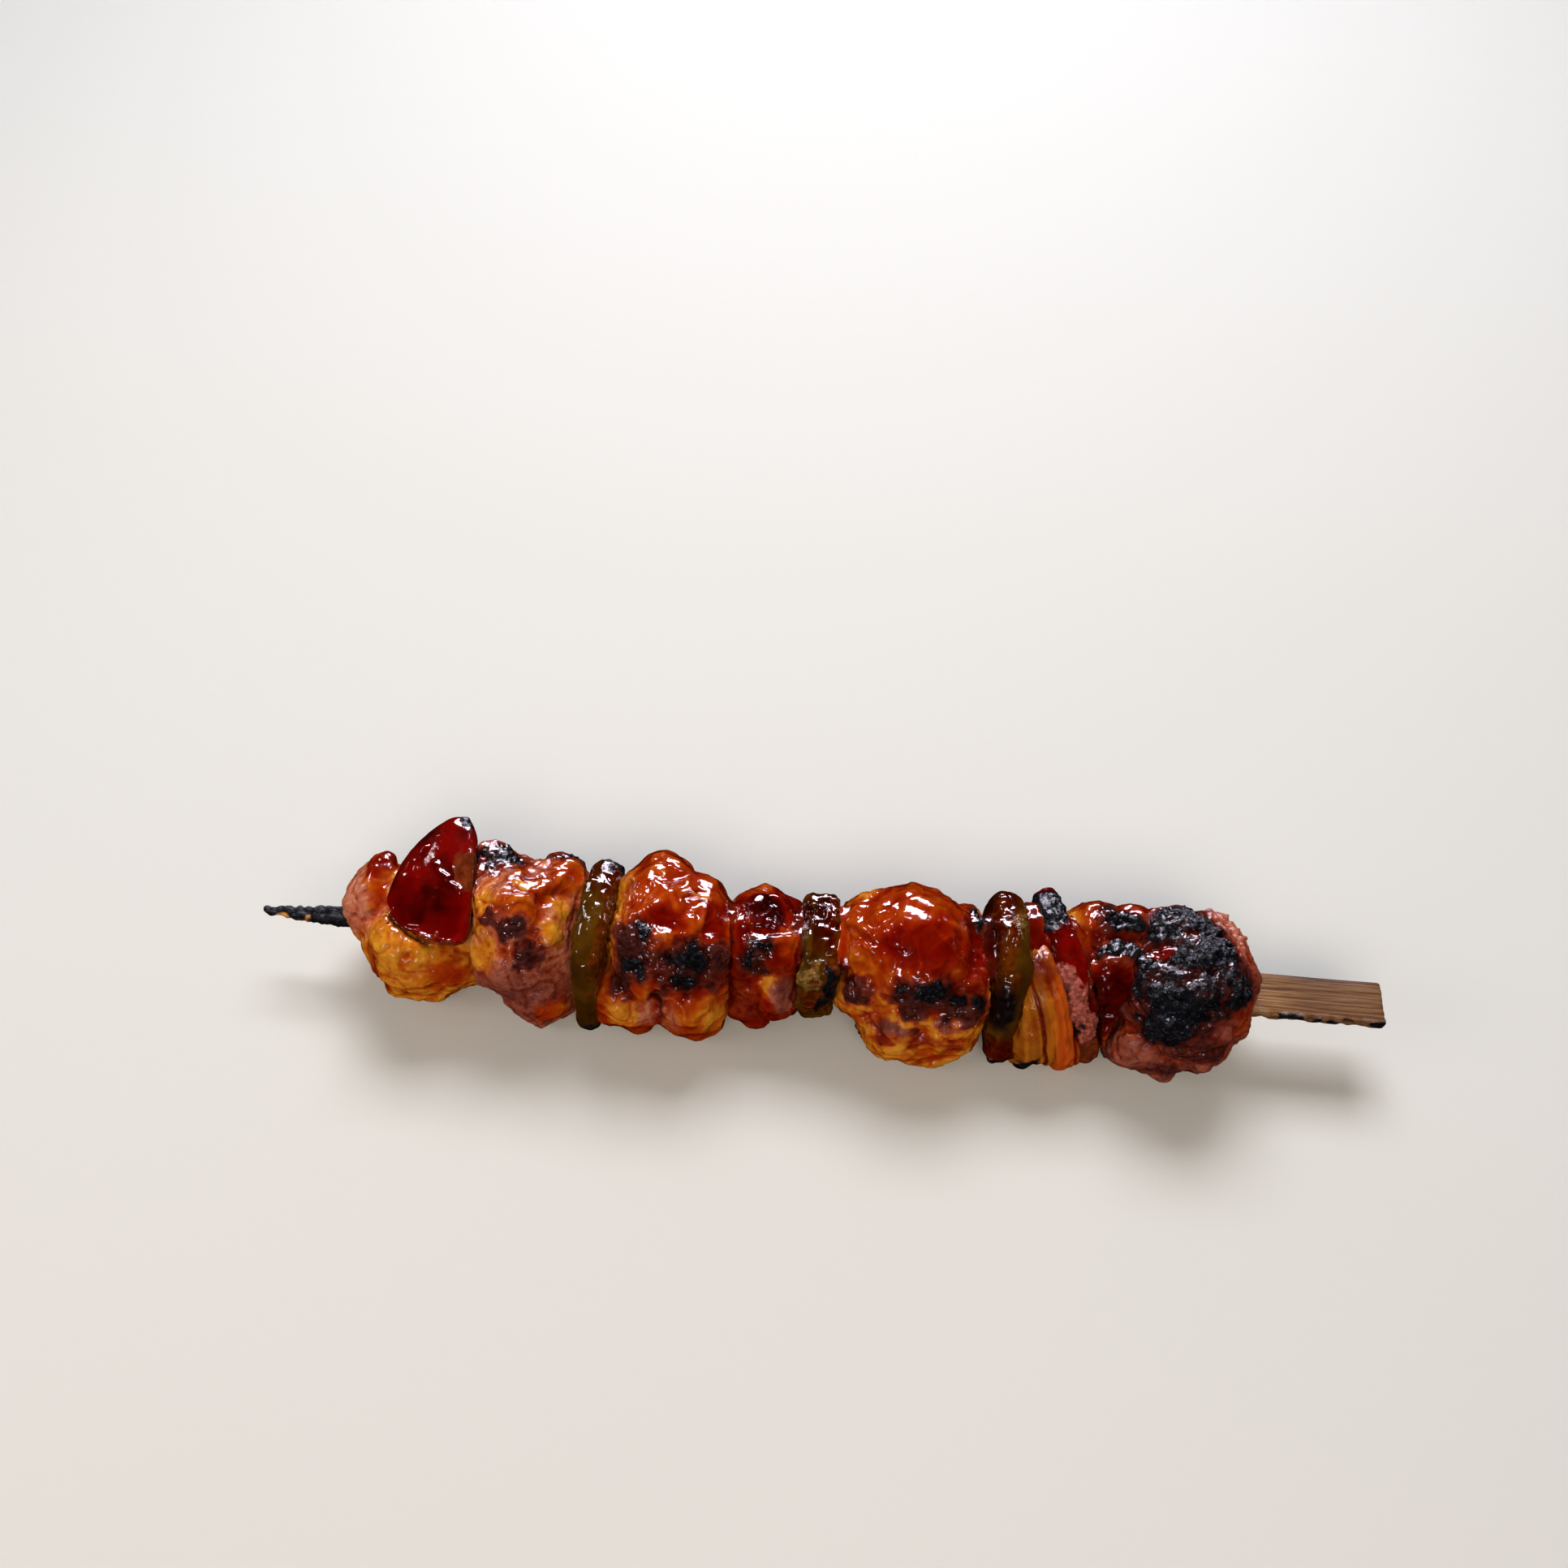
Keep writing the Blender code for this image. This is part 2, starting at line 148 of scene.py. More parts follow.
class Skin:
    """A surface as an even, softened mesh whose points can be moved and marked."""

    def __init__(self, name, mesh, grain, softened):
        rough = placed(name + "_rough", mesh)
        make_even(rough, grain)
        soften(rough, int((softened / grain) ** 2))
        self.mesh = shaped_mesh(rough)
        self.name = name
        self.grain = grain
        self.count = len(self.mesh.vertices)
        flat = np.empty(self.count * 3)
        self.mesh.vertices.foreach_get("co", flat)
        self.places = (flat.reshape(-1, 3) - STICK_FRAME) / MM
        pairs = np.empty(len(self.mesh.edges) * 2, dtype=np.int32)
        self.mesh.edges.foreach_get("vertices", pairs)
        self.ends = pairs.reshape(-1, 2)
        self.read_normals()

    def read_normals(self):
        flat = np.empty(self.count * 3)
        self.mesh.vertex_normals.foreach_get("vector", flat)
        self.normals = flat.reshape(-1, 3)

    def move(self, distance):
        """Pushes each point out along its normal by that many millimetres."""
        self.places = self.places + self.normals * distance[:, None]
        self.write()

    def stretch(self, low, high):
        """Moves the piece's two ends out along the stick by that much."""
        x = self.places[:, 0]
        middle = (x.min() + x.max()) / 2
        self.places[:, 0] = x + high * fade(middle, x.max(), x) - low * fade(-middle, -x.min(), -x)
        self.write()

    def write(self):
        """Puts the places into the mesh, none of them under the floor."""
        self.places[:, 2] = np.maximum(self.places[:, 2], 0.0)
        self.mesh.vertices.foreach_set("co", (self.places * MM + STICK_FRAME).ravel())
        self.mesh.update()
        self.read_normals()

    def averaged(self, values, rounds):
        """Values mixed with their neighbours', that many times over."""
        a, b = self.ends.T
        links = np.bincount(a, minlength=self.count) + np.bincount(b, minlength=self.count)
        values = values.reshape(self.count, -1)
        for _ in range(rounds):
            mixed = np.empty_like(values)
            for i, column in enumerate(values.T):
                sums = np.bincount(a, column[b], self.count) + np.bincount(b, column[a], self.count)
                mixed[:, i] = sums / np.maximum(links, 1)
            values = 0.5 * values + 0.5 * mixed
        return values

    def hollowness(self, reach):
        """How far each point lies below its surroundings, in millimetres."""
        rounds = int((reach / self.grain) ** 2)
        return ((self.averaged(self.places, rounds) - self.places) * self.normals).sum(axis=1)

    def mark_hollows(self):
        """Marks narrow hollows above 0 and crests below it, and wide valleys likewise; the materials
        lay the sauce thicker and darker there, partly as painted shade in creases and between lobes.
        """
        near = self.hollowness(1.4)
        far = self.hollowness(3.6)
        self.mark("hollow", np.clip(near * 2.0, -0.6, 1.6))
        self.mark("valley", np.clip(far * 0.9, -0.8, 2.0))

    def mark(self, name, values):
        """Keeps one value for each point, for the materials to read."""
        layer = self.mesh.attributes.new(name, "FLOAT", "POINT")
        layer.data.foreach_set("value", np.asarray(values, dtype=np.float32))

    def finish(self, material):
        """The finished piece, in place of its CAD node if it has one."""
        self.mesh.shade_smooth()
        self.mesh.materials.clear()
        self.mesh.materials.append(material)
        piece = placed(self.name + "_look", self.mesh)
        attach(piece, "root")
        if self.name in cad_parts:
            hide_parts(self.name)


def joined_mesh(*nodes):
    """A new mesh of the CAD solids of those nodes, their loose triangles sewn together."""
    bm = bmesh.new()
    for node in nodes:
        bm.from_mesh(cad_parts[node].data)
    bmesh.ops.remove_doubles(bm, verts=bm.verts, dist=0.001 * MM)
    mesh = bpy.data.meshes.new(nodes[0])
    bm.to_mesh(mesh)
    bm.free()
    return mesh


# ------------------------------------------------------------------------------ what covers meat

# bare: browned meat, gold: golden fat, pink: pale meat, rose: pink-brown meat, frayed: torn pink
# meat, wine: dry purple-brown crust, plum: a darker one, glaze: wet orange-red sauce, deep: thick
# dark-red sauce, murk: thick dark-brown sauce, char: dry black crust, tar: a wet one, coal: the
# deepest char

# What each cover means for the colour and the shine: how far it is browned (1 is black), how thick
# the sauce lies, how pale the meat is and how wet it looks
LOOKS = dict(
    bare=(0.42, 0.20, 0.0, 0.75),
    gold=(0.08, 0.04, 0.0, 0.80),
    pink=(0.20, 0.06, 1.0, 0.68),
    rose=(0.41, 0.06, 1.0, 0.60),
    frayed=(0.22, 0.06, 1.0, 0.45),
    wine=(0.70, 0.15, 0.6, 0.85),
    plum=(0.74, 0.10, 1.0, 0.96),
    glaze=(0.20, 0.50, 0.0, 1.00),
    deep=(0.38, 0.85, 0.0, 1.00),
    murk=(0.66, 1.10, 0.0, 0.85),
    char=(1.00, 0.00, 0.0, 0.80),
    tar=(1.02, 0.20, 0.0, 1.00),
    coal=(1.25, 0.00, 0.0, 0.75),
)
COVERS = tuple(LOOKS)

# Height of each cover's relief in millimetres: swells 6 mm apart, sharp crests, bumps 1.8 mm apart,
# grit 0.9 mm apart, blisters, and how far the cover stands proud
RELIEF = dict(
    bare=(0.25, 0.12, 0.28, 0.16, 0.0, 0.0),
    gold=(0.25, 0.10, 0.24, 0.12, 0.0, 0.0),
    pink=(0.20, 0.10, 0.20, 0.14, 0.0, 0.0),
    rose=(0.30, 0.12, 0.18, 0.14, 0.1, 0.0),
    frayed=(0.30, 0.20, 0.50, 0.60, 0.7, 0.3),
    wine=(0.30, 0.20, 0.34, 0.26, 0.3, 0.1),
    plum=(0.30, 0.20, 0.34, 0.28, 0.4, 0.1),
    glaze=(0.45, 0.18, 0.06, 0.02, 0.0, 0.3),
    deep=(0.45, 0.24, 0.06, 0.02, 0.0, 0.3),
    murk=(0.30, 0.24, 0.20, 0.08, 0.0, 0.0),
    char=(0.50, 0.20, 0.32, 0.36, 1.1, 0.3),
    tar=(0.50, 0.30, 0.32, 0.30, 0.9, 0.3),
    coal=(0.70, 0.20, 0.30, 0.38, 1.3, 0.2),
)

# Where each chunk's covers lie, each over those before it: the cover, its middle, and its radius
# along X, Y and Z
PORK_1 = (
    ("pink", (23.5, 3.0, 23.0), (7.5, 9.0, 7.0)),
    ("glaze", (27.4, 4.4, 24.8), (2.4, 4.4, 3.0)),
    ("deep", (27.7, 10.2, 26.0), (3.4, 3.0, 3.4)),
    ("glaze", (46.3, -12.0, 19.3), (5.2, 3.2, 4.0)),
    ("bare", (30.2, -12.5, 14.0), (2.4, 4.0, 8.0)),
)
PORK_2 = (
    ("rose", (62.0, -16.0, 14.0), (14.0, 8.0, 12.0)),
    ("bare", (64.0, 4.6, 33.4), (5.4, 4.0, 3.6)),
    ("gold", (64.0, 4.0, 33.7), (2.4, 1.4, 2.4)),
    ("gold", (54.6, -1.0, 31.0), (3.8, 6.4, 6.0)),
    ("glaze", (62.6, -0.6, 35.1), (4.6, 2.2, 3.0)),
    ("glaze", (67.3, 3.4, 31.5), (3.6, 2.8, 3.0)),
    ("deep", (70.6, 8.4, 30.0), (3.0, 2.0, 3.0)),
    ("glaze", (71.8, 9.5, 29.5), (3.4, 4.4, 4.4)),
    ("glaze", (60.0, 8.0, 30.0), (2.4, 1.8, 3.0)),
    ("wine", (70.0, 15.5, 27.0), (5.0, 2.0, 4.0)),
    ("gold", (70.9, 1.4, 28.8), (3.6, 3.0, 3.4)),
    ("gold", (70.3, -4.8, 29.0), (3.6, 3.6, 3.6)),
    ("glaze", (66.4, -1.5, 32.5), (2.2, 2.2, 2.4)),
    ("wine", (56.3, -3.6, 32.3), (2.8, 1.8, 2.6)),
    ("wine", (61.6, -5.4, 33.2), (3.4, 2.8, 3.0)),
    ("wine", (65.4, -10.4, 28.2), (3.4, 2.8, 3.4)),
    ("plum", (61.8, -6.0, 33.0), (3.0, 2.4, 2.6)),
    ("plum", (65.4, -10.2, 28.4), (3.0, 3.0, 3.4)),
    ("gold", (56.0, -10.0, 26.5), (4.0, 3.4, 5.0)),
    ("glaze", (69.5, -16.0, 11.5), (5.0, 3.0, 4.0)),
    ("tar", (52.8, 11.2, 29.0), (3.8, 3.0, 4.0)),
    ("tar", (57.2, 13.4, 28.8), (3.0, 2.2, 3.0)),
)
PORK_3 = (
    ("gold", (83.6, 0.0, 26.0), (4.6, 14.0, 9.0)),
    ("gold", (84.6, -6.0, 25.0), (3.4, 8.0, 7.0)),
    ("bare", (101.9, 5.2, 33.4), (3.2, 2.0, 3.0)),
    ("gold", (102.2, 5.4, 33.4), (1.8, 1.2, 2.0)),
    ("deep", (95.3, -1.2, 35.7), (4.4, 2.8, 3.0)),
    ("deep", (105.5, 0.5, 30.0), (2.6, 5.0, 5.0)),
    ("plum", (88.0, -6.6, 31.0), (5.0, 5.0, 5.0)),
    ("plum", (99.5, -8.0, 30.0), (8.6, 4.6, 4.6)),
    ("wine", (104.5, -9.0, 24.0), (4.0, 4.0, 5.0)),
    ("wine", (95.0, -11.0, 25.0), (2.0, 4.0, 6.0)),
    ("char", (90.6, -4.6, 34.0), (1.8, 1.5, 1.6)),
    ("plum", (86.5, -11.4, 22.5), (4.0, 3.4, 6.0)),
    ("tar", (89.2, -10.2, 28.0), (2.4, 2.0, 2.6)),
    ("wine", (97.5, -8.6, 31.4), (7.0, 3.2, 3.6)),
    ("char", (101.4, -8.6, 29.6), (4.6, 2.8, 3.4)),
    ("tar", (99.6, -11.6, 25.6), (3.0, 1.8, 3.0)),
    ("plum", (107.0, -6.6, 25.6), (2.6, 3.0, 4.0)),
    ("gold", (87.0, -16.3, 15.5), (4.0, 3.4, 5.0)),
    ("pink", (91.2, -15.8, 13.5), (2.6, 3.0, 5.0)),
    ("glaze", (90.0, -17.4, 7.0), (2.0, 2.4, 3.6)),
    ("gold", (105.6, -14.0, 14.0), (4.6, 4.0, 6.0)),
    ("pink", (97.4, -15.5, 15.0), (2.8, 3.0, 6.0)),
    ("wine", (93.6, -14.6, 19.0), (1.3, 4.0, 7.0)),
)
PORK_4 = (
    ("deep", (110.7, 1.4, 28.2), (3.6, 6.0, 4.0)),
    ("murk", (116.6, 5.6, 29.5), (5.0, 4.6, 3.6)),
    ("glaze", (114.0, 12.0, 24.0), (5.0, 3.0, 4.0)),
    ("tar", (116.2, -3.4, 28.6), (2.0, 1.6, 2.0)),
    ("tar", (114.1, -6.0, 26.1), (1.6, 1.6, 2.0)),
    ("glaze", (120.6, -1.5, 27.0), (3.0, 3.0, 3.0)),
    ("gold", (118.6, -9.0, 20.0), (2.6, 2.4, 4.0)),
    ("rose", (121.6, -10.4, 17.0), (2.6, 4.0, 6.0)),
    ("plum", (117.0, -6.6, 24.5), (1.6, 2.4, 3.0)),
    ("bare", (113.0, -9.0, 12.0), (4.0, 5.0, 7.0)),
)
PORK_5 = (
    ("glaze", (149.0, 4.0, 31.0), (19.0, 13.6, 14.0)),
    ("gold", (137.0, 13.2, 25.0), (4.0, 3.0, 4.0)),
    ("deep", (150.5, -2.4, 34.0), (10.5, 5.4, 5.0)),
    ("deep", (162.5, 0.0, 27.0), (4.0, 9.0, 6.0)),
    ("deep", (146.8, -1.0, 35.3), (1.8, 1.2, 2.0)),
    ("tar", (163.4, 8.4, 27.0), (1.4, 2.0, 3.0)),
    ("wine", (138.2, -9.0, 23.5), (3.4, 2.8, 4.4)),
    ("wine", (152.0, -12.4, 26.4), (11.0, 2.2, 3.4)),
    ("tar", (147.2, -10.4, 28.8), (1.9, 1.2, 2.2)),
    ("char", (153.6, -10.6, 29.2), (4.0, 1.9, 3.0)),
    ("tar", (159.2, -10.6, 25.6), (1.8, 1.8, 2.6)),
    ("tar", (164.0, -9.6, 22.4), (1.7, 2.4, 4.6)),
    ("wine", (150.6, -15.6, 19.6), (1.8, 1.4, 2.6)),
    ("rose", (157.6, -14.4, 20.4), (2.4, 1.4, 2.4)),
    ("plum", (149.0, -14.0, 23.4), (4.6, 1.6, 2.6)),
    ("plum", (160.0, -12.6, 22.4), (4.4, 2.2, 3.0)),
    ("rose", (146.4, -15.4, 18.6), (4.0, 1.6, 2.6)),
    ("bare", (152.0, -16.4, 15.0), (5.0, 1.6, 3.0)),
    ("bare", (145.0, -16.6, 13.6), (3.0, 2.0, 3.0)),
    ("bare", (160.0, -16.0, 14.0), (3.0, 2.0, 3.4)),
    ("glaze", (157.0, -18.6, 10.0), (4.0, 2.0, 3.4)),
)
PORK_6 = (
    ("murk", (191.8, -8.0, 24.0), (7.0, 8.0, 9.0)),
    ("deep", (201.0, 11.8, 25.6), (3.6, 6.0, 4.0)),
    ("gold", (184.4, 10.5, 26.0), (2.4, 3.0, 4.0)),
    ("tar", (193.8, 9.4, 29.3), (4.4, 2.4, 3.0)),
    ("tar", (193.4, 2.2, 30.5), (4.6, 2.0, 3.0)),
)
PORK_7 = (
    ("rose", (208.0, -16.0, 13.0), (13.0, 5.0, 9.0)),
    ("wine", (213.0, -15.4, 20.0), (7.0, 3.0, 5.0)),
    ("plum", (206.0, -18.0, 11.0), (5.0, 3.0, 4.0)),
    ("frayed", (219.0, 11.5, 26.4), (5.0, 7.0, 6.0)),
    ("bare", (219.6, -7.0, 24.5), (3.0, 5.0, 6.0)),
    ("coal", (208.5, -3.0, 31.0), (10.4, 7.6, 6.0)),
    ("coal", (206.5, 10.4, 31.0), (7.4, 4.0, 5.0)),
    ("coal", (213.5, 3.4, 33.0), (4.0, 5.0, 4.0)),
    ("tar", (199.6, -2.4, 27.5), (4.4, 4.6, 5.4)),
    ("tar", (204.6, -5.0, 31.2), (4.6, 3.0, 3.6)),
    ("tar", (203.4, 7.6, 30.4), (3.6, 3.0, 3.6)),
    ("deep", (202.4, 2.4, 31.0), (3.4, 1.8, 3.0)),
    ("coal", (204.0, -11.4, 25.0), (7.4, 3.8, 5.4)),
    ("coal", (206.5, -8.4, 28.6), (8.0, 3.8, 4.4)),
    ("coal", (217.4, -4.6, 30.6), (3.2, 3.0, 3.4)),
)

# The cover that each chunk has where no other lies, then its covers
CHUNKS = {
    "pork_1": ("gold", PORK_1),
    "pork_2": ("pink", PORK_2),
    "pork_3": ("glaze", PORK_3),
    "pork_4": ("deep", PORK_4),
    "pork_5": ("gold", PORK_5),
    "pork_6": ("glaze", PORK_6),
    "pork_7": ("rose", PORK_7),
}

# Hollows (below 0) and knobs (above 0) too small for the solids: middle, radius, height
DENTS = {
    "red_pepper_1": (((37.5, -1.0, 31.0), (7.0, 8.0, 8.0), -0.9),),
    "pork_1": (((38.0, -7.0, 26.0), (9.0, 6.0, 6.0), 1.0),),
    "pork_2": (
        ((64.6, 1.6, 33.0), (6.0, 1.1, 3.0), -0.7),
        ((66.8, -8.0, 29.0), (1.6, 5.0, 4.0), -0.8),
        ((70.6, 1.8, 29.0), (2.6, 2.2, 3.0), 0.8),
        ((70.3, -4.8, 29.0), (2.6, 2.4, 3.0), 0.9),
    ),
    "pork_3": (
        ((95.3, -1.4, 35.7), (4.0, 2.2, 3.0), -1.1),
        ((93.5, -15.0, 18.0), (1.2, 4.0, 8.0), -1.4),
        ((96.5, -5.6, 33.5), (2.4, 1.6, 3.0), 0.8),
        ((104.4, -2.2, 31.0), (1.4, 4.0, 3.0), -0.7),
    ),
    "pork_4": (
        ((116.4, 0.2, 30.0), (5.6, 1.2, 3.0), -1.0),
        ((111.8, -1.0, 28.0), (1.2, 5.0, 4.0), -0.8),
        ((116.2, -8.0, 24.0), (1.2, 3.0, 5.0), -0.8),
    ),
    "pork_5": (
        ((137.8, -9.2, 23.0), (2.8, 2.4, 3.0), 1.0),
        ((147.0, -15.4, 19.0), (3.0, 2.4, 3.4), 0.9),
        ((161.9, -14.2, 19.6), (3.0, 2.4, 3.4), 0.9),
        ((152.6, -13.2, 23.6), (11.0, 1.0, 2.4), -0.8),
        ((163.4, 7.0, 27.4), (2.0, 2.4, 2.4), 1.0),
    ),
    "pork_6": (
        ((193.6, 5.6, 30.5), (5.0, 1.1, 3.0), -0.9),
        ((188.6, 5.0, 28.5), (1.2, 5.0, 4.0), -0.8),
    ),
    "pork_7": (
        ((202.4, 3.0, 31.5), (6.0, 1.6, 3.0), -1.2),
        ((210.5, 6.4, 32.6), (6.0, 1.3, 3.0), -1.0),
        ((203.2, -9.0, 27.5), (3.0, 1.4, 3.0), -0.9),
    ),
}

# Raised welts of sauce: how wide each is, then the corners of the line that it follows
WELTS = {
    "red_pepper_1": (
        (0.7, (42.1, 8.4, 32.7), (45.8, 4.4, 32.5), (48.6, 2.6, 31.7)),
        (0.7, (34.4, 5.0, 30.0), (36.0, 8.8, 31.0), (39.3, 12.4, 32.0)),
        (0.7, (33.4, -2.5, 28.2), (36.2, -5.4, 27.8), (41.8, -7.4, 28.2), (46.5, -8.1, 28.2)),
        (0.7, (46.5, -8.1, 28.2), (50.2, -7.6, 28.3)),
    ),
    "pork_2": ((1.1, (60.9, -0.9, 35.2), (64.6, 0.9, 34.8), (67.4, 5.2, 31.7), (71.2, 9.1, 29.9)),),
    "green_pepper_1": ((1.1, (77.0, 8.0, 29.4), (76.4, 0.0, 29.2), (76.0, -5.0, 28.0)),),
    "pork_3": (
        (1.6, (86.6, 2.5, 31.5), (90.4, 8.1, 33.2), (93.8, 6.3, 34.2), (98.1, 0.6, 34.5)),
        (1.6, (98.1, 0.6, 34.5), (99.6, -3.2, 33.8)),
        (1.2, (99.6, -3.2, 33.8), (104.5, -4.5, 31.6), (107.4, -5.1, 27.9)),
        (1.1, (100.2, -0.5, 33.8), (101.8, -2.1, 32.9), (103.1, 1.8, 32.8)),
        (1.0, (94.0, 11.4, 32.4), (96.8, 11.2, 31.7)),
    ),
    "pork_4": (
        (1.1, (114.0, 6.0, 29.0), (115.2, 8.3, 28.7), (117.7, 9.4, 27.0), (120.4, 7.0, 26.0)),
        (1.1, (112.4, -2.9, 27.9), (115.3, -3.0, 28.8), (118.5, -1.8, 28.2), (121.6, -0.4, 26.4)),
    ),
    "green_pepper_2": (
        (1.1, (126.0, 8.4, 27.2), (129.4, 7.6, 28.3), (131.3, 5.5, 27.9)),
        (1.1, (126.8, 4.0, 28.4), (126.8, -4.0, 28.0)),
    ),
    "pork_5": (
        (1.4, (139.6, 3.6, 31.4), (142.3, 4.5, 33.1), (147.0, 8.4, 33.9)),
        (2.6, (147.0, 8.4, 33.9), (152.6, 6.2, 34.8), (158.3, 2.7, 31.8)),
        (1.1, (135.9, 4.5, 27.6), (138.7, 2.2, 30.1), (141.4, -0.3, 32.2)),
        (1.1, (136.5, -4.2, 26.4), (137.8, -1.7, 29.4), (141.1, -2.8, 31.3)),
        (1.1, (157.3, -4.7, 32.4), (159.3, -4.9, 29.1), (161.2, -6.4, 27.2), (164.3, -6.9, 24.7)),
        (1.1, (150.0, -12.0, 27.3), (152.2, -9.8, 31.1)),
    ),
    "red_pepper_2": (
        (1.3, (176.4, 8.6, 26.6), (180.6, 6.6, 25.4)),
        (0.9, (183.6, -1.0, 25.6), (189.4, -12.0, 16.0)),
    ),
    "green_pepper_3": (
        (1.1, (167.2, 6.8, 24.4), (168.7, 6.9, 28.9), (170.7, 4.2, 30.5), (171.2, 1.9, 30.6)),
    ),
    "pork_6": (
        (1.0, (187.8, 7.2, 30.0), (191.2, 10.3, 30.4), (195.8, 11.1, 29.6), (198.6, 9.1, 29.2)),
        (1.0, (187.8, 7.2, 30.0), (191.0, 6.7, 30.5), (195.8, 7.8, 29.0), (198.6, 9.1, 29.2)),
        (1.0, (190.0, 2.2, 29.5), (193.3, 4.2, 29.7), (198.2, 3.9, 27.3), (195.2, 0.8, 29.9)),
        (1.0, (195.2, 0.8, 29.9), (190.8, -0.3, 30.2)),
    ),
    "pork_7": (
        (1.1, (198.7, -0.2, 28.8), (200.7, 1.4, 29.7), (203.4, 2.5, 31.9), (205.8, 2.2, 33.1)),
        (1.1, (198.6, -4.0, 26.4), (200.9, -5.4, 29.4), (205.5, -8.9, 29.3)),
        (1.6, (201.6, -6.4, 29.6), (204.8, -8.6, 29.8), (207.0, -9.8, 29.0)),
    ),
}
WELT_HEIGHT = 0.9  # how far they stand out, in millimetres

BURNT = ("char", "tar", "coal")
SCORCH_REACH = 1.5  # how far the meat is scorched round a burnt place
TO_VIEWER = np.array([0.08, -0.43, 0.90])  # the side that the covers above were laid on


def unseen(skin):
    """1 where the skin is turned away from the side that the covers were laid on."""
    return 1.0 - fade(-0.55, -0.15, skin.normals @ TO_VIEWER)


def lay_covers(skin, fill, covers, seed):
    """Each point's share of every cover: the listed ones on top, mixed ones on the rest."""
    places = skin.places
    stirred_places = stirred(places, seed)
    shares = {cover: np.zeros(skin.count) for cover in COVERS}
    shares[fill] = np.ones(skin.count)

    def lay(cover, amount):
        for other in COVERS:
            shares[other] = shares[other] * (1.0 - amount)
        shares[cover] = shares[cover] + amount

    streaks = lump_noise(places, 7.0, seed + 20)
    lay("bare", 0.65 * fade(0.0, 0.8, lump_noise(places, 5.0, seed + 21)))
    lay("glaze", 0.65 * fade(0.1, 0.8, lump_noise(places, 4.0, seed + 22)))
    hidden = unseen(skin)
    lay("gold", hidden * fade(0.0, 0.3, streaks))
    lay("glaze", hidden * fade(-0.1, 0.25, lump_noise(places, 8.0, seed + 23)))
    lay("wine", hidden * fade(0.15, 0.4, lump_noise(places, 6.0, seed + 24)))
    lay("char", hidden * fade(0.3, 0.45, lump_noise(places, 5.5, seed + 25)))
    for cover, centre, radii in covers:
        if cover in BURNT:
            scorched = tuple(radius + SCORCH_REACH for radius in radii)
            lay("wine", 0.9 * patch(stirred_places, centre, scorched, softness=1.1))
        lay(cover, patch(stirred_places, centre, radii))
    return shares


def crests(places, spacing, seed):
    """Thin winding crests, 1 on their tops and 0 between them."""
    return fade(0.80, 1.0, 1.0 - np.abs(lump_noise(places, spacing, seed)))


def raise_welts(skin, seed):
    """Pushes up the thin welts that belong to this piece."""
    places = skin.places + 0.7 * pushes(skin.places, 3.0, seed + 50)
    height = np.zeros(skin.count)
    for width, *corners in WELTS.get(skin.name, ()):
        for start, end in zip(corners, corners[1:]):
            along = np.array(end) - np.array(start)
            share = np.clip((places - start) @ along / (along @ along), 0.0, 1.0)
            off = places - start - share[:, None] * along
            off -= 0.8 * (off * skin.normals).sum(axis=1)[:, None] * skin.normals
            height = np.maximum(height, np.exp(-(off**2).sum(axis=1) / width**2))
    skin.move(WELT_HEIGHT * height)


def roughen(skin, shares, seed):
    """Relief, blisters and thickness, each cover in its own way."""
    places = skin.places
    swells = lump_noise(places, 6.0, seed + 31)
    lines = crests(places, 7.0, seed + 36) + 0.5 * crests(places, 4.0, seed + 38) - 0.3
    knots = lump_noise(places, 1.9, seed + 32)
    grit = lump_noise(places, 0.95, seed + 33)
    uneven = places + 0.6 * pushes(places, 1.6, seed + 40)
    crags = 1.0 - np.abs(lump_noise(uneven, 3.0, seed + 34))
    blisters = crags**2 - 0.5 + 0.5 * np.abs(lump_noise(places, 1.3, seed + 37))
    height = -0.4 * crests(places, 8.0, seed + 35) * (1.0 - shares["glaze"] - shares["deep"])
    for cover in COVERS:
        swell, line, bump, fine, blister, proud = RELIEF[cover]
        own = swell * swells + line * lines + bump * knots + fine * grit + blister * blisters + proud
        height = height + shares[cover] * own
    for centre, radii, depth in DENTS.get(skin.name, ()):
        height = height + depth * patch(places, centre, radii, softness=1.2)
    skin.move(height)


# ---------------------------------------------------------------------------------- node helpers


def add_node(tree, kind, values=None, **settings):
    """A new node with its settings and its unlinked input values."""
    new = tree.nodes.new(kind)
    for name, value in settings.items():
        setattr(new, name, value)
    for name, value in (values or {}).items():
        if isinstance(value, bpy.types.NodeSocket):
            tree.links.new(value, new.inputs[name])
        else:
            new.inputs[name].default_value = value
    return new


def mix_colour(tree, amount, under, over):
    """One colour laid over another; each input is a socket or a plain value."""
    mixer = add_node(tree, "ShaderNodeMix", data_type="RGBA")
    for socket, value in ((mixer.inputs[0], amount), (mixer.inputs[6], under), (mixer.inputs[7], over)):
        if isinstance(value, bpy.types.NodeSocket):
            tree.links.new(value, socket)
        elif isinstance(value, tuple):
            socket.default_value = (*value, 1.0)
        else:
            socket.default_value = value
    return mixer.outputs[2]


def calculated(tree, operation, *values):
    """What that operation makes of sockets or numbers."""
    return add_node(tree, "ShaderNodeMath", dict(enumerate(values)), operation=operation).outputs[0]


def sum_of(tree, *terms):
    """The sum of socket times factor for each (socket, factor)."""
    total = 0.0
    for socket, factor in terms:
        total = calculated(tree, "MULTIPLY_ADD", socket, factor, total)
    return total


def product(tree, a, b):
    """Two sockets or numbers multiplied."""
    return calculated(tree, "MULTIPLY", a, b)


